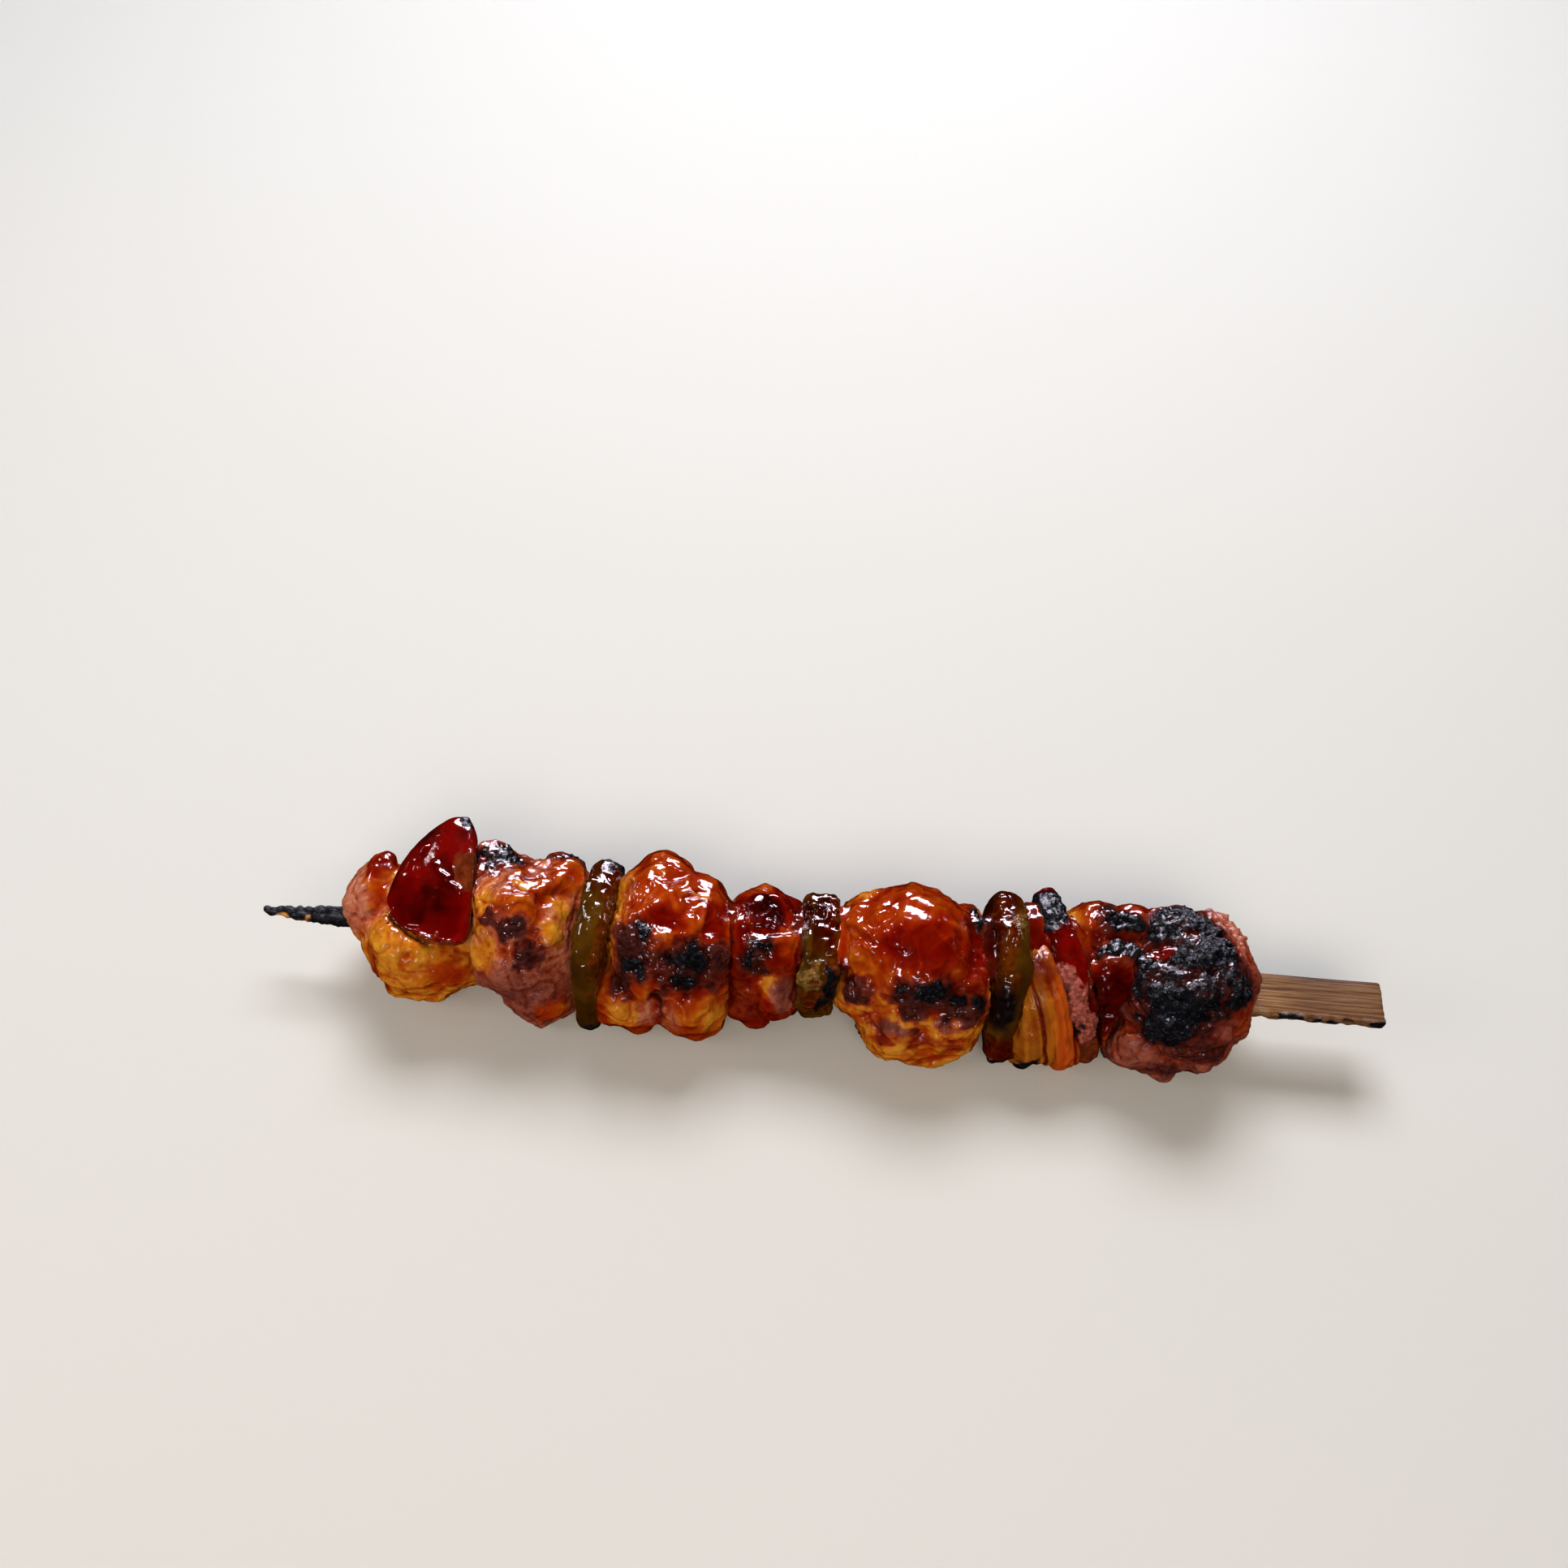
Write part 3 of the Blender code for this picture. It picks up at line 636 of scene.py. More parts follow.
def remapped(tree, value, low, high, to_low=0.0, to_high=1.0):
    """A smooth step from one value to another between low and high."""
    values = {"Value": value, "From Min": low, "From Max": high, "To Min": to_low, "To Max": to_high}
    step = add_node(tree, "ShaderNodeMapRange", values, interpolation_type="SMOOTHSTEP")
    return step.outputs[0]


def noise(tree, where, spacing, detail=3.0, stretch=None):
    """Noise from 0 to 1 whose lumps are that many millimetres apart."""
    if stretch:
        values = {"Vector": where, "Scale": stretch}
        where = add_node(tree, "ShaderNodeMapping", values, vector_type="POINT").outputs[0]
    values = {"Vector": where, "Scale": 1.0 / (spacing * MM), "Detail": detail, "Roughness": 0.6}
    return add_node(tree, "ShaderNodeTexNoise", values).outputs["Fac"]


def marks_of(tree, *names):
    """What Skin.mark kept under each name."""
    nodes = {name: add_node(tree, "ShaderNodeAttribute", attribute_name=name) for name in names}
    return {name: node.outputs["Fac"] for name, node in nodes.items()}


def new_group(name, inputs, outputs):
    """An empty shader node group, its input node and its output node."""
    tree = bpy.data.node_groups.new(name, "ShaderNodeTree")
    for label, kind in inputs.items():
        tree.interface.new_socket(label, in_out="INPUT", socket_type=kind)
    for label, kind in outputs.items():
        tree.interface.new_socket(label, in_out="OUTPUT", socket_type=kind)
    return tree, add_node(tree, "NodeGroupInput"), add_node(tree, "NodeGroupOutput")


def use_group(tree, group, **values):
    """The outputs of a node group that is given those inputs."""
    named = {name.replace("_", " "): value for name, value in values.items()}
    return add_node(tree, "ShaderNodeGroup", named, node_tree=group).outputs


VECTOR, COLOUR, NUMBER = "NodeSocketVector", "NodeSocketColor", "NodeSocketFloat"


def make_ragged_mask():
    """A soft mask whose edge is broken up by fine noise."""
    inputs = {"Where": VECTOR, "Mask": NUMBER, "Amount": NUMBER}
    tree, given, result = new_group("ragged mask", inputs, {"Mask": NUMBER})
    grain = noise(tree, given.outputs["Where"], 1.4, detail=4.0)
    centred = calculated(tree, "SUBTRACT", grain, 0.5)
    amount, mask = given.outputs["Amount"], given.outputs["Mask"]
    pushed = calculated(tree, "MULTIPLY_ADD", centred, amount, mask)
    tree.links.new(remapped(tree, pushed, 0.2, 0.8), result.inputs["Mask"])
    return tree


def make_two_tone():
    """A colour that wanders between two others, with so many lumps to the metre."""
    inputs = {"Where": VECTOR, "Dark": COLOUR, "Light": COLOUR, "Per Metre": NUMBER}
    tree, given, result = new_group("two tone", inputs, {"Colour": COLOUR})
    values = {"Vector": given.outputs["Where"], "Scale": given.outputs["Per Metre"], "Detail": 4.0}
    grain = add_node(tree, "ShaderNodeTexNoise", values).outputs["Fac"]
    share = remapped(tree, grain, 0.36, 0.64)
    colour = mix_colour(tree, share, given.outputs["Dark"], given.outputs["Light"])
    tree.links.new(colour, result.inputs["Colour"])
    return tree


def make_sauce_film():
    """Sauce over a colour, which it tints and darkens more the thicker it lies."""
    inputs = {"Under": COLOUR, "Thickness": NUMBER}
    tree, given, result = new_group("sauce film", inputs, {"Colour": COLOUR})
    passed = add_node(tree, "ShaderNodeCombineColor")
    for channel, share in zip(("Red", "Green", "Blue"), (0.46, 0.042, 0.008)):
        power = calculated(tree, "POWER", share, given.outputs["Thickness"])
        tree.links.new(power, passed.inputs[channel])
    mixer = add_node(tree, "ShaderNodeMix", {0: 1.0}, data_type="RGBA", blend_type="MULTIPLY")
    tree.links.new(given.outputs["Under"], mixer.inputs[6])
    tree.links.new(passed.outputs[0], mixer.inputs[7])
    tree.links.new(mixer.outputs[2], result.inputs["Colour"])
    return tree


def make_char_crust():
    """Burnt crust over a colour, with blue-black and brown-black grains, and bluish-grey grains that
    are partly ash and partly painted glints.
    """
    inputs = {"Where": VECTOR, "Under": COLOUR, "Mask": NUMBER, "Ash": NUMBER}
    outputs = {"Colour": COLOUR, "Height": NUMBER}
    tree, given, result = new_group("char crust", inputs, outputs)
    where = given.outputs["Where"]
    grain = noise(tree, where, 1.1, detail=5.0)
    grey = remapped(tree, grain, 0.35, 0.65)
    black = mix_colour(tree, grey, (0.002, 0.002, 0.003), (0.012, 0.012, 0.017))
    # partly painted glints: the bluish-grey grains stand for ash and for the window's glints on the
    # char
    ash_and_glints = remapped(tree, noise(tree, where, 0.8, detail=2.0), 0.58, 0.72)
    black = mix_colour(tree, product(tree, ash_and_glints, given.outputs["Ash"]), black, (0.085, 0.110, 0.165))
    mask = given.outputs["Mask"]
    tree.links.new(mix_colour(tree, mask, given.outputs["Under"], black), result.inputs["Colour"])
    tree.links.new(product(tree, grain, mask), result.inputs["Height"])
    return tree


def make_pimples():
    """Small scattered bumps under the sauce, as a height from 0 to 1."""
    tree, given, result = new_group("pimples", {"Where": VECTOR}, {"Height": NUMBER})
    where = given.outputs["Where"]
    small = remapped(tree, noise(tree, where, 1.1, detail=0.0), 0.62, 0.80)
    large = remapped(tree, noise(tree, where, 2.6, detail=1.0), 0.56, 0.74)
    tree.links.new(sum_of(tree, (small, 0.6), (large, 0.7)), result.inputs["Height"])
    return tree


def make_browning(name, steps):
    """A colour for how far the food is browned, from raw at 0 to black at 1."""
    inputs = {"Browned": NUMBER}
    tree, given, result = new_group(name, inputs, {"Colour": COLOUR})
    ramp = add_node(tree, "ShaderNodeValToRGB")
    points = ramp.color_ramp.elements
    while len(points) < len(steps):
        points.new(0.5)
    for point, (place, colour) in zip(points, steps):
        point.position = place
        point.color = (*colour, 1.0)
    tree.links.new(given.outputs["Browned"], ramp.inputs["Fac"])
    tree.links.new(ramp.outputs["Color"], result.inputs["Colour"])
    return tree


MEAT_STEPS = (
    (0.00, (0.72, 0.33, 0.030)),
    (0.15, (0.60, 0.200, 0.010)),
    (0.35, (0.40, 0.062, 0.004)),
    (0.55, (0.20, 0.020, 0.004)),
    (0.75, (0.060, 0.010, 0.008)),
    (0.90, (0.022, 0.012, 0.014)),
    (1.00, (0.006, 0.005, 0.007)),
)
PALE_STEPS = (
    (0.00, (0.72, 0.32, 0.190)),
    (0.25, (0.46, 0.130, 0.070)),
    (0.50, (0.21, 0.048, 0.032)),
    (0.75, (0.072, 0.020, 0.019)),
    (1.00, (0.008, 0.005, 0.007)),
)

RAGGED = make_ragged_mask()
TWO_TONE = make_two_tone()
SAUCE_FILM = make_sauce_film()
PIMPLES = make_pimples()
CHAR_CRUST = make_char_crust()
MEAT_BROWNING = make_browning("meat browning", MEAT_STEPS)
PALE_BROWNING = make_browning("pale meat browning", PALE_STEPS)


def two_tone(tree, where, dark, light, spacing):
    """A colour that wanders between two others, with its lumps that far apart."""
    dark, light = (*dark, 1.0), (*light, 1.0)
    per_metre = 1.0 / (spacing * MM)
    return use_group(tree, TWO_TONE, Where=where, Dark=dark, Light=light, Per_Metre=per_metre)["Colour"]


def ragged(tree, where, mask, amount):
    """The mask with its edge broken up."""
    return use_group(tree, RAGGED, Where=where, Mask=mask, Amount=amount)["Mask"]


def start_material(name):
    """A new material, its tree, its shader and the piece's own coordinates."""
    material = bpy.data.materials.new(name)
    material.use_nodes = True
    tree = material.node_tree
    shader = tree.nodes["Principled BSDF"]
    where = add_node(tree, "ShaderNodeTexCoord").outputs["Object"]
    return material, tree, shader, where


def wire(tree, shader, colour=None, roughness=None, coat=None, height=None, bump=0.3):
    """Links what changes over the surface to the shader."""
    if colour:
        tree.links.new(colour, shader.inputs["Base Color"])
    if roughness:
        tree.links.new(roughness, shader.inputs["Roughness"])
    if coat:
        tree.links.new(coat, shader.inputs["Coat Weight"])
    if height:
        values = {"Height": height, "Distance": bump * MM, "Strength": 1.0}
        bumps = add_node(tree, "ShaderNodeBump", values)
        tree.links.new(bumps.outputs["Normal"], shader.inputs["Normal"])


def soften_light(shader, weight, depth):
    """Light that goes a little way into the food, reddest deepest."""
    shader.inputs["Subsurface Weight"].default_value = weight
    shader.inputs["Subsurface Radius"].default_value = (1.0, 0.35, 0.15)
    shader.inputs["Subsurface Scale"].default_value = depth * MM


def polish(shader, coat_roughness, specular):
    """How sharply and strongly the wet food mirrors the room."""
    shader.inputs["Coat Roughness"].default_value = coat_roughness
    shader.inputs["Coat IOR"].default_value = 1.36  # thin syrup
    shader.inputs["Specular IOR Level"].default_value = specular


# -------------------------------------------------------------------------------------- materials


def sauce_and_crevice_shade(tree, where, sauce, marks):
    """The sauce laid unevenly, thicker in hollows and thinner on crests: partly pooled sauce, partly
    painted shade that darkens creases and the gaps between lobes.
    """
    wander = remapped(tree, noise(tree, where, 5.0, detail=3.0), 0.3, 0.7, 0.8, 1.25)
    laid = product(tree, sauce, wander)
    # painted shade: the hollow and valley marks darken creases and gaps as well as pooling the sauce
    total = sum_of(tree, (laid, 1.0), (marks["hollow"], 0.55), (marks["valley"], 0.25))
    return calculated(tree, "MAXIMUM", total, 0.0)


def make_grilled_meat():
    """Meat from raw gold or pink to black, under a film of sauce, its crust dry or wet."""
    material, tree, shader, where = start_material("grilled pork")
    marks = marks_of(tree, "burn", "sauce", "pale", "wet", "hollow", "valley")
    broad = noise(tree, where, 9.0, detail=2.0)
    coarse = noise(tree, where, 2.6, detail=5.0)
    fine = noise(tree, where, 0.9, detail=3.0)
    specks = remapped(tree, noise(tree, where, 1.4, detail=3.0), 0.58, 0.68)
    bare = remapped(tree, marks["wet"], 0.7, 1.0, 1.0, 0.0)
    specks = product(tree, specks, bare)
    mottles = sum_of(tree, (broad, 0.34), (coarse, 0.46), (fine, 0.20), (specks, 0.2))
    mottles = calculated(tree, "SUBTRACT", mottles, 0.5)
    calm = remapped(tree, marks["wet"], 0.8, 1.0, 1.0, 0.55)
    browned = sum_of(tree, (marks["burn"], 1.0), (product(tree, mottles, calm), 1.0))
    meat = use_group(tree, MEAT_BROWNING, Browned=browned)["Colour"]
    pale = use_group(tree, PALE_BROWNING, Browned=browned)["Colour"]
    meat = mix_colour(tree, marks["pale"], meat, pale)
    thickness = sauce_and_crevice_shade(tree, where, marks["sauce"], marks)
    saucy = use_group(tree, SAUCE_FILM, Under=meat, Thickness=thickness)["Colour"]
    burnt = remapped(tree, browned, 0.86, 1.02)
    # partly painted glints: the dry char gets the bluish-grey ash grains
    ash_and_glints = remapped(tree, marks["wet"], 0.7, 1.0, 0.9, 0.0)
    crust = use_group(tree, CHAR_CRUST, Where=where, Under=saucy, Mask=burnt, Ash=ash_and_glints)
    wet_roughness = remapped(tree, marks["wet"], 0.2, 1.0, 0.48, 0.07)
    roughness = sum_of(tree, (fine, 0.12), (wet_roughness, 1.0), (burnt, -0.04))
    coat = remapped(tree, marks["wet"], 0.6, 1.0, 0.0, 0.6)
    fibres = noise(tree, where, 1.2, detail=4.0)
    dryness = remapped(tree, marks["wet"], 0.5, 1.0, 1.0, 0.10)
    pimples = use_group(tree, PIMPLES, Where=where)["Height"]
    crumbly = product(tree, crust["Height"], remapped(tree, marks["wet"], 0.75, 1.0, 3.0, 1.2))
    height = sum_of(tree, (product(tree, fibres, dryness), 0.7), (crumbly, 1.0), (pimples, 0.14))
    wire(tree, shader, crust["Colour"], roughness, coat, height, bump=0.4)
    polish(shader, 0.06, 0.4)
    soften_light(shader, 0.12, 1.4)
    return material


def make_pepper(name, skin_dark, skin_light, flesh, browned):
    """Blistered pepper: glossy skin, paler cut flesh, browned and burnt places, and places darkened
    almost to black as painted shade.
    """
    material, tree, shader, where = start_material(name)
    marks = marks_of(tree, "cut", "brown", "sauce", "dark", "char", "hollow", "valley")
    colour = two_tone(tree, where, skin_dark, skin_light, 9.0)
    flesh_dark = tuple(0.45 * share for share in flesh)
    mottled = two_tone(tree, where, flesh_dark, flesh, 1.1)
    cut = product(tree, ragged(tree, where, marks["cut"], 1.4), 0.85)
    colour = mix_colour(tree, cut, colour, mottled)
    spots = remapped(tree, noise(tree, where, 1.3, detail=2.0), 0.6, 0.72)
    colour = mix_colour(tree, product(tree, spots, 0.45), colour, browned)
    toasted = two_tone(tree, where, browned, tuple(1.8 * share for share in browned), 1.6)
    colour = mix_colour(tree, ragged(tree, where, marks["brown"], 0.6), colour, toasted)
    thickness = sauce_and_crevice_shade(tree, where, marks["sauce"], marks)
    film = use_group(tree, SAUCE_FILM, Under=colour, Thickness=thickness)
    burnt = ragged(tree, where, marks["char"], 0.8)
    # painted shade: the dark places are darkened almost to black, as shade in hollows and creases
    shaded = mix_colour(tree, marks["dark"], film["Colour"], (0.008, 0.002, 0.0006))
    crust = use_group(tree, CHAR_CRUST, Where=where, Under=shaded, Mask=burnt, Ash=0.1)
    fine = noise(tree, where, 0.9, detail=3.0)
    roughness = sum_of(tree, (burnt, 0.02), (fine, 0.20), (marks["cut"], 0.10), (marks["dark"], 0.3))
    coat = remapped(tree, burnt, 0.0, 0.8, 0.35, 0.1)
    pimples = use_group(tree, PIMPLES, Where=where)["Height"]
    rough = product(tree, fine, marks["cut"])
    height = sum_of(tree, (fine, 0.08), (crust["Height"], 0.8), (pimples, 0.08), (rough, 1.2))
    wire(tree, shader, crust["Colour"], roughness, coat, height, bump=0.4)
    polish(shader, 0.06, 0.35)
    soften_light(shader, 0.15, 1.2)
    return material


def make_onion():
    """Fibrous onion layers, golden to orange, darker where one layer meets the next and at the top,
    where the darkening is partly sauce and partly painted shadow.
    """
    material, tree, shader, where = start_material("grilled onion")
    marks = marks_of(tree, "layer", "fibre", "orange", "char", "hollow", "valley")
    yellow = mix_colour(tree, marks["fibre"], (0.34, 0.100, 0.005), (0.48, 0.170, 0.010))
    orange = mix_colour(tree, marks["fibre"], (0.54, 0.075, 0.005), (0.66, 0.135, 0.010))
    colour = mix_colour(tree, marks["orange"], yellow, orange)
    # the layer mark also holds the darkened top: partly sauce, partly painted shadow of the pepper next
    # to it
    colour = mix_colour(tree, marks["layer"], colour, (0.17, 0.030, 0.003))
    blotches = remapped(tree, noise(tree, where, 4.0, detail=3.0), 0.52, 0.68)
    colour = mix_colour(tree, product(tree, blotches, 0.5), colour, (0.26, 0.030, 0.003))
    layer = product(tree, marks["layer"], 0.35)
    thickness = sauce_and_crevice_shade(tree, where, layer, marks)
    film = use_group(tree, SAUCE_FILM, Under=colour, Thickness=thickness)
    burnt = ragged(tree, where, marks["char"], 0.7)
    crust = use_group(tree, CHAR_CRUST, Where=where, Under=film["Colour"], Mask=burnt, Ash=0.2)
    fine = noise(tree, where, 0.9, detail=3.0)
    roughness = sum_of(tree, (fine, 0.34), (burnt, 0.2), (marks["layer"], 0.1))
    height = sum_of(tree, (fine, 0.25), (marks["fibre"], 0.5), (crust["Height"], 1.4))
    wire(tree, shader, crust["Colour"], roughness, None, height, bump=0.35)
    shader.inputs["Coat Weight"].default_value = 0.5
    polish(shader, 0.12, 0.2)
    soften_light(shader, 0.2, 1.6)
    return material


def make_bamboo():
    """Bamboo with fine fibres and dark bands, toasted, burnt, and raw where the crust fell off."""
    material, tree, shader, where = start_material("toasted bamboo")
    marks = marks_of(tree, "toast", "char", "raw")
    fibres = noise(tree, where, 0.5, detail=4.0, stretch=(0.03, 1.0, 1.0))
    bands = noise(tree, where, 1.6, detail=3.0, stretch=(0.05, 1.0, 1.0))
    fibre = remapped(tree, fibres, 0.4, 0.6)
    light = mix_colour(tree, fibre, (0.20, 0.090, 0.036), (0.34, 0.185, 0.080))
    dark = mix_colour(tree, fibre, (0.060, 0.025, 0.020), (0.13, 0.060, 0.045))
    colour = mix_colour(tree, marks["toast"], light, dark)
    banded = remapped(tree, bands, 0.56, 0.66, 0.0, 0.6)
    colour = mix_colour(tree, banded, colour, (0.045, 0.015, 0.010))
    colour = mix_colour(tree, marks["raw"], colour, (0.62, 0.27, 0.06))
    burnt = ragged(tree, where, marks["char"], 0.8)
    crust = use_group(tree, CHAR_CRUST, Where=where, Under=colour, Mask=burnt, Ash=0.3)
    roughness = sum_of(tree, (fibres, 0.3), (burnt, 0.1), (bands, 0.35))
    height = sum_of(tree, (fibres, 1.0), (bands, 0.6), (crust["Height"], 1.5))
    wire(tree, shader, crust["Colour"], roughness, None, height, bump=0.25)
    shader.inputs["Specular IOR Level"].default_value = 0.25
    return material


GRILLED_MEAT = make_grilled_meat()
GREEN_PEPPER = make_pepper(
    "blistered green pepper",
    skin_dark=(0.058, 0.020, 0.001),
    skin_light=(0.120, 0.052, 0.003),
    flesh=(0.34, 0.19, 0.028),
    browned=(0.085, 0.018, 0.001),
)
RED_PEPPER = make_pepper(
    "blistered red pepper",
    skin_dark=(0.050, 0.0015, 0.001),
    skin_light=(0.21, 0.002, 0.001),
    flesh=(0.66, 0.19, 0.14),
    browned=(0.13, 0.024, 0.006),
)
ONION = make_onion()
BAMBOO = make_bamboo()

# ------------------------------------------------------------------------------------ pork chunks

# How far each chunk is squeezed into its neighbours, towards the tip and towards the handle
SQUEEZE = {"pork_1": (0.0, 0.9), "pork_2": (0.9, 0.2), "pork_3": (2.0, 0.8), "pork_7": (0.9, 0.0)}
USUAL_SQUEEZE = (0.8, 0.8)
RIM_SHADE = 0.2  # painted shade: how much darker the meat is painted where it turns away from the camera, at its edges and undersides


def make_chunk(node, seed):
    """A pork chunk with its covers, its relief, its hollows and its welts of sauce."""
    fill, covers = CHUNKS[node]
    skin = Skin(node, joined_mesh(node), GRAIN, 1.3)
    skin.stretch(*SQUEEZE.get(node, USUAL_SQUEEZE))
    shares = lay_covers(skin, fill, covers, seed)
    roughen(skin, shares, seed)
    # painted shade: darkens the edges and undersides turned away from the camera, through the burn mark
    edge_shade = 1.0 - fade(0.0, 0.55, skin.normals @ TO_VIEWER)
    for i, name in enumerate(("burn", "sauce", "pale", "wet")):
        values = sum(shares[cover] * LOOKS[cover][i] for cover in COVERS)
        skin.mark(name, values + RIM_SHADE * edge_shade if name == "burn" else values)
    skin.mark_hollows()
    raise_welts(skin, seed)
    skin.finish(GRILLED_MEAT)


for i, node in enumerate(CHUNKS):
    make_chunk(node, 100 * (i + 1))

# ---------------------------------------------------------------------------------------- peppers

PEPPER_SAUCE = 0.55  # how thick the sauce lies on the sauced places

# Each piece's material and slot, how far it is swollen and how wavy it is
PEPPERS = {
    "red_pepper_1": (RED_PEPPER, "red_pepper", 0.0, 0.14),
    "green_pepper_1": (GREEN_PEPPER, "green_pepper", 0.9, 0.35),
    "green_pepper_2": (GREEN_PEPPER, "green_pepper", 0.6, 0.9),
    "green_pepper_3": (GREEN_PEPPER, "green_pepper", 0.9, 0.35),
    "red_pepper_2": (RED_PEPPER, "red_pepper", 0.5, 0.4),
}

# The burnt, browned, sauced and cut places, and the places darkened as painted shade (dark): the mark,
# its middle, and its radius along X, Y and Z
PEPPER_MARKS = {
    "red_pepper_1": (
        ("brown", (49.6, 7.5, 32.0), (3.0, 5.4, 4.0)),
        ("brown", (40.5, -8.2, 27.0), (10.0, 1.4, 2.0)),
        # sauce that also darkens the middle of the facet as painted shade
        ("sauce", (36.5, -2.0, 30.0), (6.0, 7.0, 6.0)),
        ("sauce", (46.5, -3.0, 30.5), (4.0, 7.0, 6.0)),
        ("char", (46.4, 20.6, 32.0), (3.0, 1.6, 3.0)),
    ),
    "green_pepper_1": (
        ("sauce", (79.5, 12.0, 28.0), (5.0, 7.0, 7.0)),
        ("char", (81.5, 15.5, 27.0), (3.0, 3.4, 5.0)),
        ("char", (79.5, -19.5, 8.0), (3.4, 2.6, 4.4)),
        ("brown", (81.5, -2.0, 24.0), (1.8, 18.0, 14.0)),
    ),
    "green_pepper_2": (
        ("sauce", (129.0, 8.0, 27.0), (6.0, 9.0, 8.0)),
        ("brown", (131.6, 0.0, 28.0), (2.4, 12.0, 7.0)),
        ("cut", (127.4, -8.0, 25.0), (1.8, 3.4, 4.0)),
        ("brown", (129.0, -12.0, 18.0), (5.0, 3.6, 6.0)),
        ("char", (131.0, -13.0, 17.0), (3.0, 2.4, 4.0)),
        ("char", (131.8, -8.6, 23.0), (1.8, 3.4, 6.0)),
    ),
    "green_pepper_3": (
        ("sauce", (169.0, 12.0, 27.0), (5.0, 9.0, 7.0)),
        ("brown", (169.0, 1.0, 26.0), (3.4, 14.0, 12.0)),
        ("cut", (172.4, 7.4, 30.0), (1.6, 3.2, 3.0)),
        ("sauce", (171.0, -16.0, 9.0), (6.0, 5.0, 6.0)),
        # painted shade in the pepper's hollow
        ("dark", (169.6, -9.6, 21.0), (3.2, 5.0, 7.0)),
        ("brown", (172.6, -16.0, 9.0), (5.0, 4.0, 6.0)),
        ("char", (171.0, -18.4, 6.0), (3.0, 2.0, 4.0)),
    ),
    "red_pepper_2": (
        ("cut", (182.8, -3.4, 25.4), (1.9, 3.2, 4.0)),
        ("cut", (184.4, -5.5, 24.6), (2.0, 3.0, 5.0)),
        ("cut", (186.0, -7.6, 23.0), (2.0, 3.2, 5.0)),
        ("cut", (187.8, -9.8, 20.0), (2.0, 3.2, 5.0)),
        ("cut", (189.6, -11.6, 16.6), (2.0, 3.6, 6.0)),
        # painted shade along the creases beside the cut strip
        ("dark", (183.0, -8.0, 22.0), (0.8, 3.4, 5.0)),
        ("dark", (186.4, -12.6, 16.0), (0.8, 3.4, 5.0)),
        ("char", (178.6, 11.5, 27.0), (5.0, 5.0, 5.0)),
        ("sauce", (178.0, 17.4, 26.0), (4.0, 2.4, 4.0)),
        ("brown", (191.0, -14.0, 10.0), (4.0, 4.0, 5.0)),
    ),
}

# The line along each strip's middle: X at the stick, and how that shifts with Y and with height;
# half the strip's width, and how far its skin sags between the rims
SAGS = {
    "green_pepper_1": (79.0, 0.035, 0.0, 4.0, 0.7),
    "green_pepper_2": (129.2, 0.0, 0.0, 5.0, 1.2),
    "green_pepper_3": (171.8, -0.08, 0.05, 4.4, 0.9),
    "red_pepper_2": (184.5, -0.33, -0.09, 4.2, 0.6),
}


def sag(skin, at_stick, with_y, with_height, half_width, depth):
    """Lets a strip's outer skin sag between its two rims."""
    x, y, z = skin.places.T
    middle = at_stick + with_y * y + with_height * (z - STICK_HEIGHT)
    off_middle = np.minimum(((x - middle) / half_width) ** 2, 1.0)
    outward = np.stack([np.zeros_like(x), y, z - STICK_HEIGHT], axis=1)
    outward /= np.linalg.norm(outward, axis=1)[:, None]
    faces_out = fade(0.1, 0.7, (outward * skin.normals).sum(axis=1))
    skin.move(-depth * (1.0 - off_middle) * faces_out)


def make_pepper_piece(node, seed):
    """A pepper piece, wavy and sagging, with its marks, blisters and welts."""
    material, slot, swell, wave = PEPPERS[node]
    skin = Skin(node, joined_mesh(node), FINE_GRAIN, 0.9)
    places = skin.places
    stirred_places = stirred(places, seed)
    marks = {mark: np.zeros(skin.count) for mark in ("cut", "brown", "sauce", "dark", "char")}
    for mark, centre, radii in PEPPER_MARKS[node]:
        marks[mark] = np.maximum(marks[mark], patch(stirred_places, centre, radii))
    marks["sauce"] *= PEPPER_SAUCE
    blots = fade(0.25, 0.4, lump_noise(places, 6.0, seed + 3))
    marks["char"] = np.maximum(marks["char"], unseen(skin) * blots)
    waves = wave * lump_noise(places, 6.0, seed + 1) + 0.3 * wave * lump_noise(places, 2.2, seed + 2)
    wrinkles = 0.4 * wave * np.abs(lump_noise(places, 3.0, seed + 4))
    blisters = 0.5 * np.maximum(lump_noise(places, 1.9, seed + 5), 0.0)
    grit = 0.10 * lump_noise(places, 0.9, seed + 6)
    crust = np.abs(lump_noise(places, 3.0, seed + 7)) + 0.4 * lump_noise(places, 1.4, seed + 8)
    lumps = 0.5 * marks["brown"] * crust
    lumps += 0.5 * marks["cut"] * np.abs(lump_noise(places, 1.3, seed + 9))
    skin.move(swell + waves - wrinkles + lumps + marks["char"] * (blisters + grit))
    if node in SAGS:
        sag(skin, *SAGS[node])
    for centre, radii, depth in DENTS.get(node, ()):
        skin.move(depth * patch(skin.places, centre, radii, softness=1.2))
    for mark, values in marks.items():
        skin.mark(mark, values)
    skin.mark_hollows()
    raise_welts(skin, seed)
    skin.finish(material)


for i, node in enumerate(PEPPERS):
    make_pepper_piece(node, 1000 + 50 * i)

# ------------------------------------------------------------------------------------------ onion

LAYER = 7.5  # thickness of one onion layer
FIRST_LAYER = 174.0  # where a layer begins
FIBRE = 0.55  # spacing of the fibres in a layer
LEAN = 0.36  # how far the layers shift along X for each millimetre of Y
RISE = 0.10  # and for each millimetre of height
ORANGE_FROM, ORANGE_TO = 176.0, 181.0  # where the golden layers turn orange


